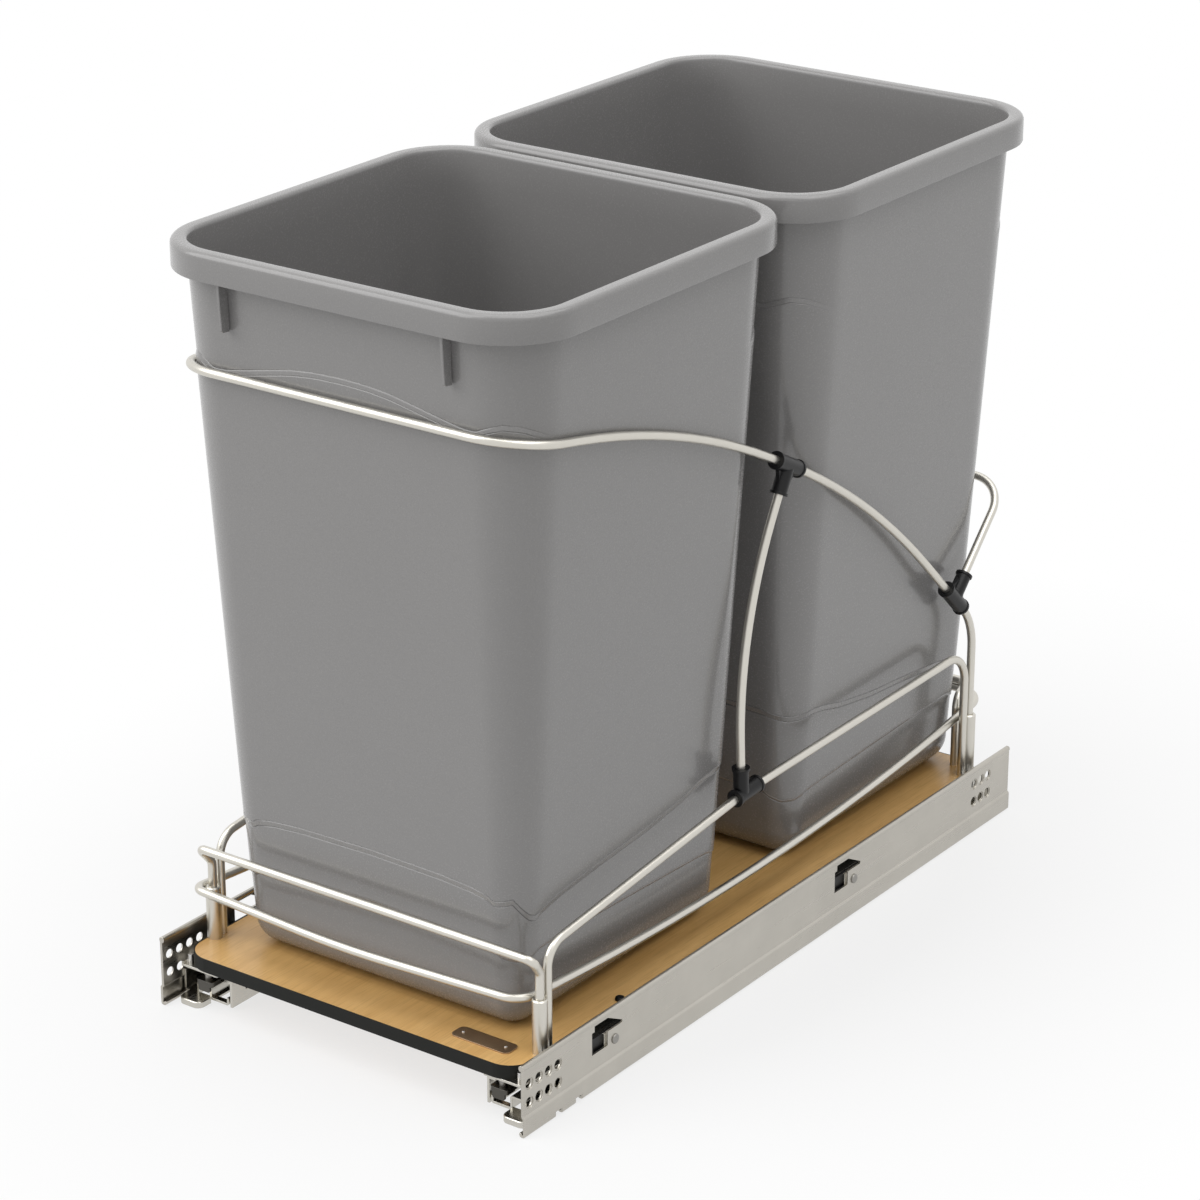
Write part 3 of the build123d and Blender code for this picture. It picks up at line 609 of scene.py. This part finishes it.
@dataclass(frozen=True)
class MapleVeneer(Finish):
    """Clear lacquered maple veneer with its grain along Y.

    Attributes:
        dark: linear colour of the darker growth bands.
        pore: linear colour of the pores.
        marks: how far bands, flecks and pores change the colour.
        pore_dulling: roughness that a pore adds.
        lacquer: weight of the lacquer and its roughness.
        edge: radius that rounds the edges, in metres.
        relief: depth of the pores in metres.
    """

    dark: Colour = (0.52, 0.275, 0.075)
    pore: Colour = (0.24, 0.12, 0.035)
    marks: tuple[float, float, float] = (0.62, 0.16, 0.22)
    pore_dulling: float = 0.14
    lacquer: tuple[float, float] = (0.25, 0.28)
    edge: float = 0.0004
    relief: float = 0.00004

    def paint(self, tree: Tree, shader: Node, place: Socket) -> None:
        """Bands, flecks and pores in the colour, pores in height and roughness.

        Args:
            tree: the material's tree.
            shader: its Principled BSDF.
            place: the object coordinates.
        """
        figure = MapleFigure.place(tree, Vector=place)
        colour: Colour | Socket = self.colour
        tints = (self.dark, self.dark, self.pore)
        for mark, share, tint in zip(("Band", "Fleck", "Pore"), self.marks, tints):
            colour = blend_colours(tree, calc(tree, "MULTIPLY", figure[mark], share), colour, tint)
        tree.links.new(colour, shader.inputs["Base Color"])
        rough = remap(tree, figure["Pore"], (0.0, 1.0),
                      (self.roughness, self.roughness + self.pore_dulling))
        tree.links.new(rough, shader.inputs["Roughness"])
        shader.inputs["Coat Weight"].default_value = self.lacquer[0]
        shader.inputs["Coat Roughness"].default_value = self.lacquer[1]
        sunk = calc(tree, "SUBTRACT", 1.0, figure["Pore"])
        rounded = EdgeWear.place(tree, Vector=place, Radius=self.edge)["Rounded"]
        self.bump(tree, shader, sunk, 0.25, self.relief, rounded)


class Finishes(Enum):
    """Every finish of the unit."""

    # The bracket's broad clouds (cloud 6, spread 0.09) are partly the plating's own uneven tone and
    # partly painted reflection: a slow light-and-dark gradient that stands in for the reflections
    # across its face.
    BRACKET = PlatedSteel("bracket_plating_and_painted_reflection", "bracket_steel", (0.50, 0.477, 0.43), 0.3,
                          spread=0.09, cloud=6.0, edge=0.0005)
    SLIDE = PlatedSteel("slide_plating", "slide_steel", (0.57, 0.55, 0.50), 0.24, spread=0.04)
    ZINC = PlatedSteel("zinc_plating", "zinc_screw", (0.56, 0.55, 0.53), 0.3,
                       lines=(1.0, 1.0, 1.0), spread=0.08)
    NICKEL = PlatedSteel("satin_nickel", "wire_nickel", (0.64, 0.617, 0.56), 0.33,
                         lines=(1.0, 1.0, 1.0), line_scale=60.0, spread=0.03, edge=0.0,
                         relief=0.000006)
    # Zinc darkened as a whole, far below the screws' zinc: painted shade that stands in for the
    # dark hollow centre of each rivet.
    RIVET_PAINTED_SHADE = PlatedSteel("rivet_zinc_painted_shade", "zinc_screw", (0.30, 0.29, 0.27), 0.32,
                        lines=(1.0, 1.0, 1.0), spread=0.12)
    LEVER = PlatedSteel("dark_lever_steel", "lever_steel", (0.10, 0.095, 0.085), 0.35,
                        spread=0.08, wear=0.8)
    BLACK_SCREW = PlatedSteel("black_oxide", "black_screw", (0.022, 0.022, 0.022), 0.38,
                              spread=0.1, wear=0.5)
    BRONZE = PlatedSteel("bronze_plate", "bronze", (0.38, 0.265, 0.165), 0.34,
                         lines=(0.03, 1.0, 1.0), spread=0.1)
    BLACK = MouldedPlastic("black_moulding", "black_plastic", (0.006, 0.006, 0.0065), 0.34,
                           grain=1900.0, relief=0.00001, gloss=0.3)
    ROLLER = MouldedPlastic("natural_nylon", "roller_plastic", (0.58, 0.57, 0.53), 0.38,
                            grain=2200.0)
    BAND = MouldedPlastic("edge_band_plastic", "black_band", (0.007, 0.0075, 0.006), 0.42,
                          grain=900.0, gloss=0.2, edge=0.0002)
    BIN = MouldedPlastic("bin_moulding", "bin_grey", (0.222, 0.217, 0.214), 0.26, grain=1100.0,
                         relief=0.000006, spread=0.012, coat=0.35, edge=0.0)
    MAPLE = MapleVeneer("maple_veneer", "maple", (0.76, 0.475, 0.18), 0.32)

    @property
    def material(self) -> bpy.types.Material:
        """The finish's material."""
        return self.value.material()

    @property
    def slot(self) -> str:
        """The record's slot of the finish."""
        return self.value.slot


# ------------------------------------------------------------------ meshes
class MeshSketch:
    """Collects points and faces in millimetres and turns them into a piece."""

    def __init__(self) -> None:
        """Start with nothing."""
        self.points: list[Grid] = []
        self.faces: list[tuple[int, ...]] = []
        self.count = 0

    def loft(self, rings: Grid) -> None:
        """Join closed rings of equal length with quads, and close both ends with a face.

        Args:
            rings: array of rings by points by 3.
        """
        rows, columns = rings.shape[:2]
        first = self.count
        self.points.append(rings.reshape(-1, 3))
        self.count += rows * columns
        for row in range(rows - 1):
            low = first + row * columns
            high = low + columns
            for column in range(columns):
                after = (column + 1) % columns
                self.faces.append((low + column, low + after, high + after, high + column))
        last = first + (rows - 1) * columns
        self.faces.append(tuple(range(first, first + columns))[::-1])
        self.faces.append(tuple(range(last, last + columns)))

    def piece(self, name: str, body: str, finish: Finishes,
              named: Sequence[str]) -> bpy.types.Object:
        """Make the Blender object.

        Args:
            name: the piece's name.
            body: the CAD body that it rides on.
            finish: its finish.
            named: CAD nodes that it stands for.

        Returns:
            The object.
        """
        mesh = bpy.data.meshes.new(name)
        mesh.from_pydata((np.concatenate(self.points) * MM).tolist(), [], self.faces)
        mesh.validate()
        mesh.update()
        mesh.shade_smooth()
        mesh.set_sharp_from_angle(angle=math.radians(SHARP_EDGE))
        made = bpy.data.objects.new(name, mesh)
        bpy.context.scene.collection.objects.link(made)
        made.data.materials.append(finish.material)
        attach(made, body)
        finish.slot
        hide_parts(*named)
        return made


def rounding(radius: float, count: int, start: float = 0.0) -> list[tuple[float, float]]:
    """Walk along a quarter round.

    Args:
        radius: its radius.
        count: how many points it has.
        start: the first point's angle.

    Returns:
        Each point's distance from the first side, which grows, and from the second, which fades.
    """
    turns = np.linspace(start, QUARTER, count)
    return [(radius * (1 - math.cos(turn)), radius * (1 - math.sin(turn))) for turn in turns]


# ------------------------------------------------------------------ sub-assemblies
def sides(*stems: str) -> list[str]:
    """The left and right node of each stem."""
    return [f"{stem}_{side}" for stem in stems for side in ("left", "right")]


class Assembly(ABC):
    """A sub-assembly that builds and dresses its pieces."""

    @abstractmethod
    def build(self) -> list[str]:
        """Make the pieces.

        Returns:
            The names of the pieces, for the log.
        """


class DressedAssembly(Assembly):
    """A sub-assembly whose shapes are the CAD nodes themselves, which only get their finishes."""

    finished: ClassVar[dict[Finishes, list[str]]]

    def build(self) -> list[str]:
        """Dress the nodes.

        Returns:
            Their names, for the log.
        """
        dressed: list[str] = []
        for finish, nodes in self.finished.items():
            for name in nodes:
                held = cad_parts[name]
                held.data.materials.clear()
                held.data.materials.append(finish.material)
                finish.slot
                dressed.append(name)
        return dressed


class Slides(DressedAssembly):
    """Both slides with their brackets, members, cages and locks."""

    finished = {
        Finishes.BRACKET: sides("cabinet_bracket"),
        Finishes.SLIDE: sides("fixed_runner", "middle_member", "drawer_member", "lock_plate"),
        # rivets and lever pins take the darkened zinc, a painted shade for the rivets' hollows
        Finishes.RIVET_PAINTED_SHADE: sides("runner_rivets", "lever_pin"),
        Finishes.BLACK: sides("guide_blocks", "lower_cage", "upper_cage"),
        Finishes.ROLLER: sides("lower_rollers", "upper_rollers"),
        Finishes.LEVER: sides("release_lever"),
    }


class Platform(DressedAssembly):
    """Maple board with its band, plate and fasteners."""

    finished = {
        Finishes.MAPLE: ["platform_board"],
        Finishes.BAND: ["edge_band"],
        Finishes.BRONZE: ["blank_plate"],
        Finishes.ZINC: ["plate_pins", "under_screws", "lock_screws", "post_studs"],
        Finishes.BLACK_SCREW: ["edge_screws"],
    }


class WireFrame(DressedAssembly):
    """Nickel wires and sleeves round the bins, with black tees."""

    finished = {
        Finishes.NICKEL: ["front_bar", "rear_bar", "lower_loop", "upper_hoop", "back_hoop",
                          *sides("side_rail", "strut", "post_front", "post_rear")],
        Finishes.BLACK: sides("top_tee", "rear_tee", "lower_tee"),
    }


# ------------------------------------------------------------------ bins
@dataclass(frozen=True)
class WallStep:
    """A step round the bin's wall, between two fine grooves.

    Attributes:
        border: its level at each station.
        half: half its height.
        clear: how far from its middle the even wall starts.
        sunk: share of the full groove.
    """

    border: Table
    half: float
    clear: float
    sunk: float

    def levels(self, station: Grid) -> Grid:
        """Level of the step's middle at each station."""
        return np.interp(station, *zip(*self.border))

    def profile(self) -> tuple[tuple[float, float, int], ...]:
        """Walk up the step.

        Returns:
            Each row's height from the middle, share of the step done, and 1 in a groove or 0.
        """
        half, lip, knee = self.half, 0.5, self.half * 0.35
        return ((-half - lip, 0.0, 0), (-half, 0.0, 1), (-half + lip, 0.08, 0), (-knee, 0.3, 0),
                (knee, 0.7, 0), (half - lip, 0.92, 0), (half, 1.0, 1), (half + lip, 1.0, 0))


@dataclass
class Bin(Assembly):
    """One moulded bin, lofted ring by ring so that its panels' borders follow the arches.

    A step's border gives a level at each station: 0.5 is the middle of the front, 1 to 2 the
    front corner, 2 to 3 the side, 3 to 4 the rear corner and 4.5 the middle of the back.
    Lengths are in millimetres.

    Attributes:
        node: the CAD node that it stands for.
        body: the CAD body that carries it.
        centre_depth: its middle behind the brackets' front.
        turned: whether it stands turned half round.
    """

    node: str
    body: str
    centre_depth: float
    turned: bool = False
    width: float = 281.6
    depth: float = 280.6
    top: float = 495.5
    floor: float = 37.0
    rim_height: float = 17.3
    rim_corner: float = 48.0
    rim_wall: float = 2.4
    rim_round: float = 3.6
    body_inset: float = 8.4  # of the body at the top, from the rim's outer face
    taper: float = 24.9  # how much further in the body is at the floor
    mouth_corner: float = 39.0
    mouth_round: float = 2.4
    foot_corner: float = 19.0
    foot_round: float = 18.0
    least_corner: float = 1.0
    wall: float = 2.2
    floor_wall: float = 3.0
    floor_corner: float = 4.0
    panel_step: float = 0.75
    groove: float = 0.45
    gusset_reach: float = 81.2  # of a rib's middle, from the bin's
    gusset_length: float = 29.5
    gusset_thickness: float = 2.2
    gusset_nose: float = 0.35
    straight_columns: int = 26
    corner_columns: int = 14
    wall_counts: ClassVar[tuple[int, ...]] = (6, 5, 22, 8)  # rows below, between, above the steps
    foot_count: ClassVar[int] = 9
    rim_count: ClassVar[int] = 8
    mouth_count: ClassVar[int] = 6
    inner_wall_count: ClassVar[int] = 24
    inner_foot_count: ClassVar[int] = 7
    floor_insets: ClassVar[tuple[float, ...]] = (60.0, 110.0, 126.0)
    corners: ClassVar[tuple[tuple[int, int], ...]] = ((1, -1), (1, 1), (-1, 1), (-1, -1))
    front, side_middle, back, lap = 0.5, 2.5, 4.5, 8.0  # stations
    upper_fade: ClassVar[tuple[float, float]] = (1.6, 1.95)  # stations where the upper step ends
    lower_step: ClassVar[WallStep] = WallStep((
        (0.5, 131.6), (0.8, 130.4), (0.93, 128.6), (1.0, 126.0), (1.1, 123.4), (1.3, 124.6),
        (1.42, 126.2), (1.6, 118.5), (1.75, 113.4), (1.9, 112.9), (2.0, 115.6), (2.1, 119.5),
        (2.35, 124.3), (2.6, 128.0), (2.8, 133.5), (2.93, 139.3), (3.0, 141.0), (3.25, 140.2),
        (3.5, 139.6), (3.75, 141.2), (4.0, 143.5), (4.5, 145.0)), half=2.0, clear=2.6, sunk=1.0)
    second_step: ClassVar[WallStep] = WallStep((
        (0.5, 97.0), (0.9, 95.0), (1.0, 93.5), (1.2, 88.0), (1.5, 85.5), (1.75, 86.5),
        (1.95, 90.0), (2.05, 91.0), (2.5, 88.0), (2.95, 84.6), (3.05, 83.0), (3.3, 80.5),
        (3.6, 80.0), (3.85, 83.0), (4.0, 86.0), (4.5, 88.0)), half=1.2, clear=1.8, sunk=0.6)
    upper_step: ClassVar[WallStep] = WallStep((
        (0.5, 433.6), (0.6, 433.2), (0.7, 431.1), (0.8, 427.4), (0.9, 423.6), (0.97, 421.2),
        (1.05, 420.8), (1.18, 424.0), (1.36, 426.7), (1.55, 425.2), (1.7, 421.8), (1.85, 418.0),
        (2.0, 415.5), (2.5, 414.0)), half=1.6, clear=2.2, sunk=0.7)

    def build(self) -> list[str]:
        """Shell, rim and gussets as one moulding.

        Returns:
            Its name, for the log.
        """
        sketch = MeshSketch()
        sketch.loft(self.placed(self.shell_rings()))
        for side in (-1, 1):
            for end in (-1, 1):
                sketch.loft(self.placed(self.gusset_rings(side, end)))
        made = sketch.piece(f"{self.node}_moulding", self.body, Finishes.BIN, [self.node])
        return [made.name]

    def placed(self, rings: Grid) -> Grid:
        """Move rings from the bin's own middle to its place, turned if it stands turned."""
        spun = rings * np.array([-1.0, -1.0, 1.0]) if self.turned else rings
        return spun + np.array([0.0, FRONT_Y + self.centre_depth, 0.0])

    def outline(self, inset: float | Grid, corner: float | Grid) -> tuple[Grid, Grid]:
        """Rounded rectangle drawn in from the rim's outer size.

        Args:
            inset: distance in from the rim's outer face, one value or one for each column.
            corner: its corner radius.

        Returns:
            X and Y of each column.
        """
        centre, angle, run = self.columns()
        half_x = self.width / 2 - inset - corner
        half_y = self.depth / 2 - inset - corner
        x = centre[:, 0] * half_x * run[:, 0] + corner * np.cos(angle)
        y = centre[:, 1] * half_y * run[:, 1] + corner * np.sin(angle)
        return x, y

    def columns(self) -> tuple[Grid, Grid, Grid]:
        """Columns round the outline.

        Returns:
            Signs of the corner centre, angle of the normal, and share along each straight side.
        """
        signs, angles, runs = [], [], []
        for quarter, here in enumerate(self.corners):
            start = math.radians(90 * quarter - 90)
            for step in np.linspace(0, QUARTER, self.corner_columns, endpoint=False):
                signs.append(here)
                angles.append(start + step)
                runs.append((1.0, 1.0))
            for share in np.linspace(1, -1, self.straight_columns, endpoint=False):
                signs.append(here)
                angles.append(start + QUARTER)
                runs.append((1.0, share) if quarter % 2 == 0 else (share, 1.0))
        return np.array(signs, float), np.array(angles), np.array(runs)

    def shares(self, level: float | Grid) -> float | Grid:
        """How far up the body a level is, from 0 at the floor to 1 at the top."""
        return (level - self.floor) / (self.top - self.floor)

    def body_corner(self, share: float | Grid) -> float | Grid:
        """Corner radius of the body at a share of its height."""
        return self.foot_corner + (self.mouth_corner - self.foot_corner) * share

    def wall_ring(self, level: Grid, shrink: float, step: Grid | float = 0.0) -> Grid:
        """Ring of the tapered wall.

        Args:
            level: Z of each column.
            shrink: distance inside the outer wall.
            step: relief of the panel, inwards.

        Returns:
            The ring's points.
        """
        share = self.shares(level)
        inset = self.body_inset + self.taper * (1 - share) + shrink + step
        x, y = self.outline(inset, self.body_corner(share) - shrink - step)
        return np.stack([x, y, level], axis=1)

    def flat_ring(self, level: float, inset: float, corner: float) -> Grid:
        """Level ring at a distance in from the rim's outer face."""
        x, y = self.outline(inset, corner)
        return np.stack([x, y, np.full_like(x, level)], axis=1)

    def stations(self) -> Grid:
        """Station of each column, folded onto the right half of the bin.

        Returns:
            One station for each column.
        """
        runs = ((1, self.corner_columns), (2, self.straight_columns))
        place = np.concatenate([2 * quarter + start + np.linspace(0, 1, count, endpoint=False)
                                for quarter in range(len(self.corners)) for start, count in runs])
        left = np.where(place > self.back, 2 * self.back - place, place)
        return np.where(place >= self.lap,
                        self.front + np.abs(place - (self.lap + self.front)), left)

    def shell_rings(self) -> Grid:
        """All rings from the middle of the underside to the middle of the inside floor.

        Returns:
            Array of rings by points by 3.
        """
        rings: list[Grid] = []
        self.foot_rows(rings)
        self.body_rows(rings)
        self.rim_rows(rings)
        self.inner_rows(rings)
        return np.stack(rings)

    def foot_rows(self, rings: list[Grid]) -> None:
        """Underside and the round that leads up to the wall.

        Args:
            rings: the rings so far.
        """
        foot_inset = self.body_inset + self.taper
        relief = 2 * self.panel_step
        middle_reach, middle_corner = 90.0, self.foot_corner * 0.6
        for share in (0.97, 0.5):
            inset = foot_inset + self.foot_round * (1 - share) + middle_reach * share
            rings.append(self.flat_ring(self.floor, inset, middle_corner))
        for rise, drawn in rounding(self.foot_round, self.foot_count):
            level = self.floor + rise
            share = self.shares(level)
            corner = max(self.least_corner, self.body_corner(share) - drawn - relief)
            inset = foot_inset - self.taper * share + drawn + relief
            rings.append(self.flat_ring(level, inset, corner))

    def body_rows(self, rings: list[Grid]) -> None:
        """Outer wall with the second, the lower and the upper step.

        Args:
            rings: the rings so far.
        """
        station = self.stations()
        to_front = np.minimum(station, 2 * self.side_middle - station)
        second_step, lower_step, upper_step = self.second_step, self.lower_step, self.upper_step
        second, lower = second_step.levels(station), lower_step.levels(station)
        upper = upper_step.levels(to_front)
        fade = np.interp(to_front, self.upper_fade, (1.0, 0.0))
        start = np.full_like(lower, self.floor + self.foot_round)
        under_rim = np.full_like(lower, self.top - self.rim_wall)
        one, two, faded = self.panel_step, 2 * self.panel_step, self.panel_step * fade
        foot, low, main, high = self.wall_counts
        self.wall_rows(rings, start, second - second_step.clear, two, foot)
        self.step_rows(rings, second_step, second, two, one)
        self.wall_rows(rings, second + second_step.clear, lower - lower_step.clear, one, low)
        self.step_rows(rings, lower_step, lower, one, 0.0)
        self.wall_rows(rings, lower + lower_step.clear, upper - upper_step.clear, 0.0, main)
        self.step_rows(rings, upper_step, upper, 0.0, faded, fade)
        self.wall_rows(rings, upper + upper_step.clear, under_rim, faded, high)

    def wall_rows(self, rings: list[Grid], low: Grid, high: Grid, step: Grid | float,
                  count: int) -> None:
        """Even rows between two levels with one relief."""
        for share in np.linspace(0, 1, count):
            rings.append(self.wall_ring(low + (high - low) * share, 0.0, step))

    def step_rows(self, rings: list[Grid], step: WallStep, middle: Grid, low: float,
                  high: Grid | float, fade: Grid | float = 1.0) -> None:
        """Rows across a step.

        Args:
            rings: the rings so far.
            step: the step.
            middle: its level in each column.
            low: relief below it.
            high: relief above it.
            fade: share of its grooves that is left in each column.
        """
        sunk = step.sunk * fade
        for offset, share, cut in step.profile():
            relief = low + (high - low) * share + self.groove * cut * sunk
            rings.append(self.wall_ring(middle + offset, 0.0, relief))

    def rim_rows(self, rings: list[Grid]) -> None:
        """Underside of the rim, its skirt and its rounded top.

        Args:
            rings: the rings so far.
        """
        ceiling, foot, wall = self.top - self.rim_wall, self.top - self.rim_height, self.rim_wall
        root_inset = self.body_inset - 0.6
        rings.append(self.flat_ring(ceiling, root_inset, self.mouth_corner))
        skirt = ((ceiling, wall + 1.0), (ceiling - 0.4, wall + 0.3), (ceiling - 1.2, wall),
                 (foot + 0.8, wall), (foot + 0.2, wall - 0.3), (foot, wall - 0.8),
                 (foot, 0.8), (foot + 0.2, 0.25), (foot + 0.8, 0.0))
        crown = tuple((self.top - fall, drawn)
                      for drawn, fall in rounding(self.rim_round, self.rim_count))
        for level, inset in skirt + crown:
            rings.append(self.flat_ring(level, inset, self.rim_corner - inset))

    def inner_rows(self, rings: list[Grid]) -> None:
        """Inner edge of the rim, inner wall and floor.

        Args:
            rings: the rings so far.
        """
        for fall, left in rounding(self.mouth_round, self.mouth_count):
            inset = self.body_inset + self.wall - left
            corner = self.mouth_corner - (inset - self.body_inset)
            rings.append(self.flat_ring(self.top - fall, inset, corner))
        bottom = self.floor + self.floor_wall
        curve = self.foot_round - self.wall
        wall_start, curve_start = self.top - 3.2, 0.15
        rows = [(level, 0.0) for level in
                np.linspace(wall_start, bottom + curve, self.inner_wall_count)]
        rows += [(bottom + rise, drawn)
                 for drawn, rise in rounding(curve, self.inner_foot_count, curve_start)]
        for level, drawn in rows:
            rings.append(self.wall_ring(np.full(len(rings[0]), level), self.wall + drawn))
        for inset in self.floor_insets:
            corner = max(self.floor_corner, 60.0 - inset / 2.2)
            rings.append(self.flat_ring(bottom, inset, corner))

    def gusset_rings(self, side: int, end: int) -> Grid:
        """Rings of one rib under the rim, with a rounded nose.

        Args:
            side: -1 for the left, 1 for the right.
            end: -1 for the front, 1 for the back.

        Returns:
            Rings across the rib's thickness.
        """
        face = self.depth / 2 - self.rim_wall
        root = self.depth / 2 - self.body_inset - self.wall / 2
        lean = self.taper * self.gusset_length / (self.top - self.floor)
        high = self.top - self.rim_wall - 0.2
        skirt = self.top - self.rim_height
        low = skirt - self.gusset_length
        profile = [(root, high), (face, high), (face, skirt), (face - lean * 0.5, low + 14),
                   (face - lean - 0.2, low + 1.0), (face - lean - 1.2, low),
                   (root - 0.8, low - 0.6)]
        half, nose = self.gusset_thickness / 2, self.gusset_nose
        return np.array([[(side * self.gusset_reach + offset, end * (y - drawn), z)
                          for y, z in profile]
                         for offset, drawn in ((-half, nose), (-half + nose, 0.0),
                                               (half - nose, 0.0), (half, nose))])


# ------------------------------------------------------------------ studio
def stand(made: bpy.types.Object, place: Sequence[float], target: Sequence[float]) -> None:
    """Stand a lamp or camera in the scene and turn it to a point.

    Args:
        made: the lamp or camera.
        place: where it stands, in metres.
        target: the point it looks at.
    """
    made.location = place
    made.rotation_mode = "QUATERNION"
    made.rotation_quaternion = (Vector(target) - Vector(place)).to_track_quat("-Z", "Y")
    bpy.context.scene.collection.objects.link(made)


@dataclass
class Studio:
    """Pale floor, white surroundings, soft lamps and the camera.

    Attributes:
        camera_place: the camera in metres.
        camera_aim: the point it looks at.
        lens: focal length in millimetres.
        sensor: width of the sensor in millimetres.
        ambient: the surroundings' strength as light.
        lamp_aim: the point that the lamps are aimed at.
        floor_reach: half the floor's side in metres.
        floor_drop: how far the floor lies under the feet, in metres.
        floor_tone: its linear grey.
        floor_fade: distances in metres between which it fades into the background.
        least_fade: how far it has faded at the unit.
    """

    camera_place: tuple[float, float, float] = (1.3141, -1.8337, 1.1257)
    camera_aim: tuple[float, float, float] = (0.0034, -0.0220, 0.2196)
    lens: float = 113.88
    sensor: float = 36.0
    ambient: float = 0.48
    lamp_aim: tuple[float, float, float] = (0.0, 0.0, 0.25)
    floor_reach: float = 30.0
    floor_drop: float = 0.0004
    floor_tone: float = 0.74
    floor_fade: tuple[float, float] = (0.2, 0.48)
    least_fade: float = 0.72
    lamps: ClassVar[tuple[tuple, ...]] = (  # name, place, side in metres and power in watts
        ("key_lamp", (-1.6, -1.9, 2.3), 2.8, 60.0),
        ("right_lamp", (1.6, -0.3, 2.6), 1.8, 9.0),
        ("top_lamp", (0.3, 0.1, 2.8), 2.8, 38.0),
    )

    def build(self) -> None:
        """Floor, surroundings, lamps and camera."""
        self.lay_floor()
        self.surround()
        for name, place, side, power in self.lamps:
            light = bpy.data.lights.new(name, "AREA")
            light.size, light.energy = side, power
            stand(bpy.data.objects.new(name, light), place, self.lamp_aim)
        self.aim_camera()

    def lay_floor(self) -> None:
        """White floor that keeps the shadow near the unit and fades into the background."""
        sheet = bpy.data.meshes.new("floor")
        reach = self.floor_reach
        corners = [(-reach, -reach, 0.0), (reach, -reach, 0.0),
                   (reach, reach, 0.0), (-reach, reach, 0.0)]
        sheet.from_pydata(corners, [], [(0, 1, 2, 3)])
        floor = bpy.data.objects.new("floor", sheet)
        floor.location = (0.0, 0.0, -self.floor_drop)
        bpy.context.scene.collection.objects.link(floor)
        floor.data.materials.append(self.floor_paper())

    def floor_paper(self) -> bpy.types.Material:
        """Paper that is lit near the unit and plain white far off.

        Returns:
            The material.
        """
        made, tree, shader = start_material("floor_paper")
        shader.inputs["Roughness"].default_value = 0.8
        shader.inputs["Specular IOR Level"].default_value = 0.2
        place = add_node(tree, "TexCoord").outputs["Object"]
        clouds = Mottle.place(tree, Vector=place, Scale=3.0, Spread=0.006)["Factor"]
        colour = blend_colours(tree, 1.0, (self.floor_tone,) * 3, clouds, mode="MULTIPLY")
        tree.links.new(colour, shader.inputs["Base Color"])
        oval = stretch(tree, place, (1.0, 0.7, 1.0))
        far = add_node(tree, "VectorMath", {0: oval}, operation="LENGTH").outputs["Value"]
        fade = remap(tree, far, self.floor_fade, (self.least_fade, 1.0))
        faded = calc(tree, "MULTIPLY", fade, ray_mask(tree, "Camera", "Glossy"))
        glow = add_node(tree, "Emission", {"Color": WHITE, "Strength": 1.0}).outputs[0]
        mix = add_node(tree, "MixShader", {0: faded, 1: shader.outputs[0], 2: glow})
        tree.links.new(mix.outputs[0], tree.nodes["Material Output"].inputs["Surface"])
        return made

    def surround(self) -> None:
        """White world to the eye and to gloss, softer as light."""
        world = bpy.data.worlds.new("surround")
        world.use_nodes = True
        tree = world.node_tree
        back = tree.nodes["Background"]
        seen = ray_mask(tree, "Camera", "Glossy", "Transmission")
        strength = remap(tree, seen, (0.0, 1.0), (self.ambient, 1.0))
        tree.links.new(strength, back.inputs["Strength"])
        back.inputs["Color"].default_value = WHITE
        bpy.context.scene.world = world

    def aim_camera(self) -> None:
        """Camera at the photograph's viewing angle."""
        lens = bpy.data.cameras.new("camera")
        lens.lens = self.lens
        lens.sensor_width = self.sensor
        made = bpy.data.objects.new("camera", lens)
        stand(made, self.camera_place, self.camera_aim)
        bpy.context.scene.camera = made


def main() -> None:
    """Build the pieces in order and report each through the log."""
    logging.basicConfig(level=logging.INFO, format="%(name)s: %(message)s")
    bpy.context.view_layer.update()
    bpy.context.scene.view_settings.view_transform = "Standard"
    assemblies: list[Assembly] = [
        Slides(),
        Platform(),
        WireFrame(),
        Bin("front_bin", "front_bin_body", 147.7),
        Bin("rear_bin", "rear_bin_body", 436.9, turned=True),
    ]
    for assembly in assemblies:
        for name in assembly.build():
            log.info("%s: %s", type(assembly).__name__, name)
    Studio().build()
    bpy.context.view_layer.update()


if __name__ == "__main__":
    main()
